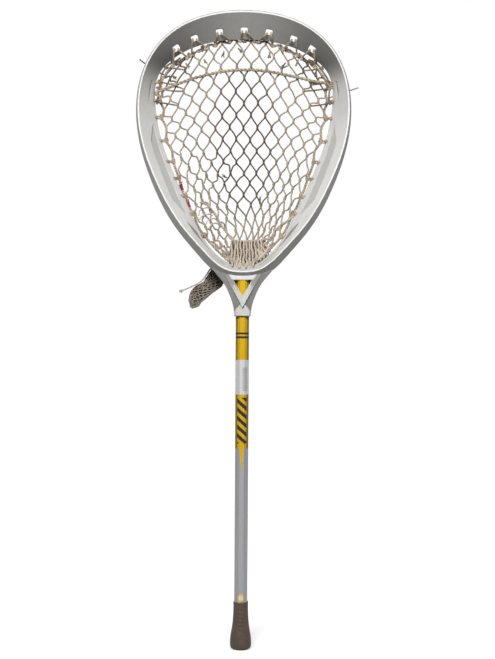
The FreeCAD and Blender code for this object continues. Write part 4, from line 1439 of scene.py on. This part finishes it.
LOOSE_ENDS = (
    # solid it replaces, finish, far end, route
    (
        "bottom_string_tail", pale_finish, "knot",
        (
            (-27.0, 27.4, 650.0), (-52.5, 27.4, 644.5), (-62.8, 27.4, 626.0), (-76.0, 27.4, 612.0),
            (-105.0, 27.4, 600.5),
        ),
    ),
    (
        "top_string_tail_left", soiled_finish, "bare",
        ((-136.5, 30.6, 969.0), (-153.0, 30.6, 975.5), (-178.0, 29.0, 994.5)),
    ),
    (
        "shooting_string_tail_right", shooter_finish, "bare",
        ((143.5, 37.8, 931.5), (162.0, 37.8, 939.0), (195.0, 36.5, 949.8)),
    ),
)
END_PLY_RADIUS = 0.72 * MILLIMETRE
for node, finish, far_end, route in LOOSE_ENDS:
    middle_line = route_line(node + "_route", route)
    fine_line = even_steps(middle_line, int(travelled(middle_line)[-1] / 0.0008))
    end_lines = plies(fine_line, 2, END_PLY_RADIUS * 0.95, 0.0075)
    end_lines += [] if far_end == "bare" else [knot_line(fine_line[-1], 0.0026, 0.4)]
    piece = cord_piece(node + "_plies", end_lines, END_PLY_RADIUS, finish)
    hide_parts(node)

# %% [markdown]
# ## Red thread
# Somebody mended the left side string with a few turns of red thread, in two places.

# %% Red thread
RED_PLACES = (0.7775, 0.7480)
red_lines = []
for height in RED_PLACES:
    held = SIDE_STRINGS["left"][np.abs(SIDE_STRINGS["left"][:, 2] - height) < 0.0055]
    held = even_steps(held, 60)
    red_lines.extend(plies(held, 1, 0.0027, 0.0017, chance.random()))
    red_lines.extend(tuft_lines(held[0], (0.3, -0.6, 1.0), 0.005, 3))
red_piece = cord_piece(
    "red_thread_turns", red_lines, 0.7 * MILLIMETRE, red_finish, sides=6
)
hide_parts("red_tie")

# %% [markdown]
# ## The surplus net
# What is left of the net is bunched up and hangs at the lower left, behind the throat. Two edge lines give
# its outline. A lumpy core in painted shade fills it, and a fine net is laid over the front and the back of
# that core.

# %% Surplus net
TAIL_OUTLINE = (
    # left edge and right edge in front view, x and height in millimetres
    (
        (-54.0, 640.0), (-61.0, 626.3), (-69.8, 615.7), (-85.0, 606.0), (-89.6, 597.5),
        (-92.4, 584.0), (-91.0, 577.0),
    ),
    (
        (-28.5, 637.0), (-31.0, 616.5), (-38.7, 606.5), (-52.4, 597.0), (-66.2, 584.5),
        (-77.0, 573.5), (-85.0, 569.0),
    ),
)
TAIL_MIDDLE_DEPTH = 0.0346
TAIL_HALF_THICKNESS = 0.0030
CORE_INSET = -0.0012
TAIL_STEPS = 60
TAIL_ROUND = 40


def tail_edges():
    """Both edge lines of the bunch, with even steps."""
    edges = []
    for outline in TAIL_OUTLINE:
        points = np.array([(x, 0.0, z) for x, z in outline]) * MILLIMETRE
        edges.append(even_steps(smooth_line(points, 0.002), TAIL_STEPS + 1))
    return edges


TAIL_EDGES = tail_edges()


def on_tail(along, angle, lift=0.0):
    """Point on the bunch: along from root to tip, angle round its section."""
    i = min(max(along, 0.0), 1.0) * TAIL_STEPS
    i0 = min(int(i), TAIL_STEPS - 1)
    left, right = (edge[i0] * (1 - i + i0) + edge[i0 + 1] * (i - i0) for edge in TAIL_EDGES)
    middle, half = (left + right) / 2, (right - left) / 2
    width = np.linalg.norm(half)
    end = min(1.0, max(0.12, 9 * (1 - along))) ** 0.5
    lump = 0.5 * math.sin(along * 23 + 3 * angle) + 0.5 * math.sin(along * 41 - 5 * angle)
    depth = (TAIL_HALF_THICKNESS + 0.0007 * lump) * end + lift
    wide = (width - 0.001 + 0.0006 * lump) * end + lift
    flat = half / width * math.cos(angle) * wide
    return middle + flat + np.array([0.0, TAIL_MIDDLE_DEPTH + math.sin(angle) * depth, 0.0])


core_points = []
core_faces = [tuple(reversed(range(TAIL_ROUND)))]
for i in range(TAIL_STEPS + 1):
    low, high = i * TAIL_ROUND, (i + 1) * TAIL_ROUND
    for j in range(TAIL_ROUND):
        k = (j + 1) % TAIL_ROUND
        core_points.append(tuple(on_tail(i / TAIL_STEPS, math.tau * j / TAIL_ROUND, CORE_INSET)))
        if i < TAIL_STEPS:
            core_faces.append((low + j, low + k, high + k, high + j))
core_faces.append(tuple(range(low, high)))
core_mesh = smooth_mesh("surplus_net_shade_core", core_points, core_faces)
# core in painted shade for the hollows of the surplus net
core = add_piece("surplus_net_shade_core", core_mesh, shade_core_finish, "mesh_tail")
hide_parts("mesh_tail")

# %% [markdown]
# The cords over the core zigzag like those of the net but squeezed to about a quarter of
# their size, with enough chance in them that no cell looks like its neighbour.

# %% Cords of the surplus net
TAIL_CELLS_AROUND = 11
TAIL_CELL_ROWS = 19
TAIL_CORD_RADIUS = 1.15 * MILLIMETRE
tail_joints = {}
for row in range(TAIL_CELL_ROWS + 1):
    for half in range(2 * TAIL_CELLS_AROUND):
        along = (row + chance.uniform(-0.35, 0.35)) / TAIL_CELL_ROWS
        angle = math.tau * (half + chance.uniform(-0.5, 0.5)) / (2 * TAIL_CELLS_AROUND)
        tail_joints[half, row] = on_tail(along, angle, chance.uniform(-0.0008, 0.0006))
tail_lines = []
for start in range(TAIL_CELLS_AROUND):
    for heading in (-1, 1):
        points = []
        for row in range(TAIL_CELL_ROWS + 1):
            swing = row % 2 if heading > 0 else -(row % 2)
            points.append(tail_joints[(2 * start + swing) % (2 * TAIL_CELLS_AROUND), row])
        tail_lines.append(smooth_line(points, 0.0012))
cord_piece(
    "surplus_net_cords", tail_lines, TAIL_CORD_RADIUS, tail_finish, body="mesh_tail", sides=6
)
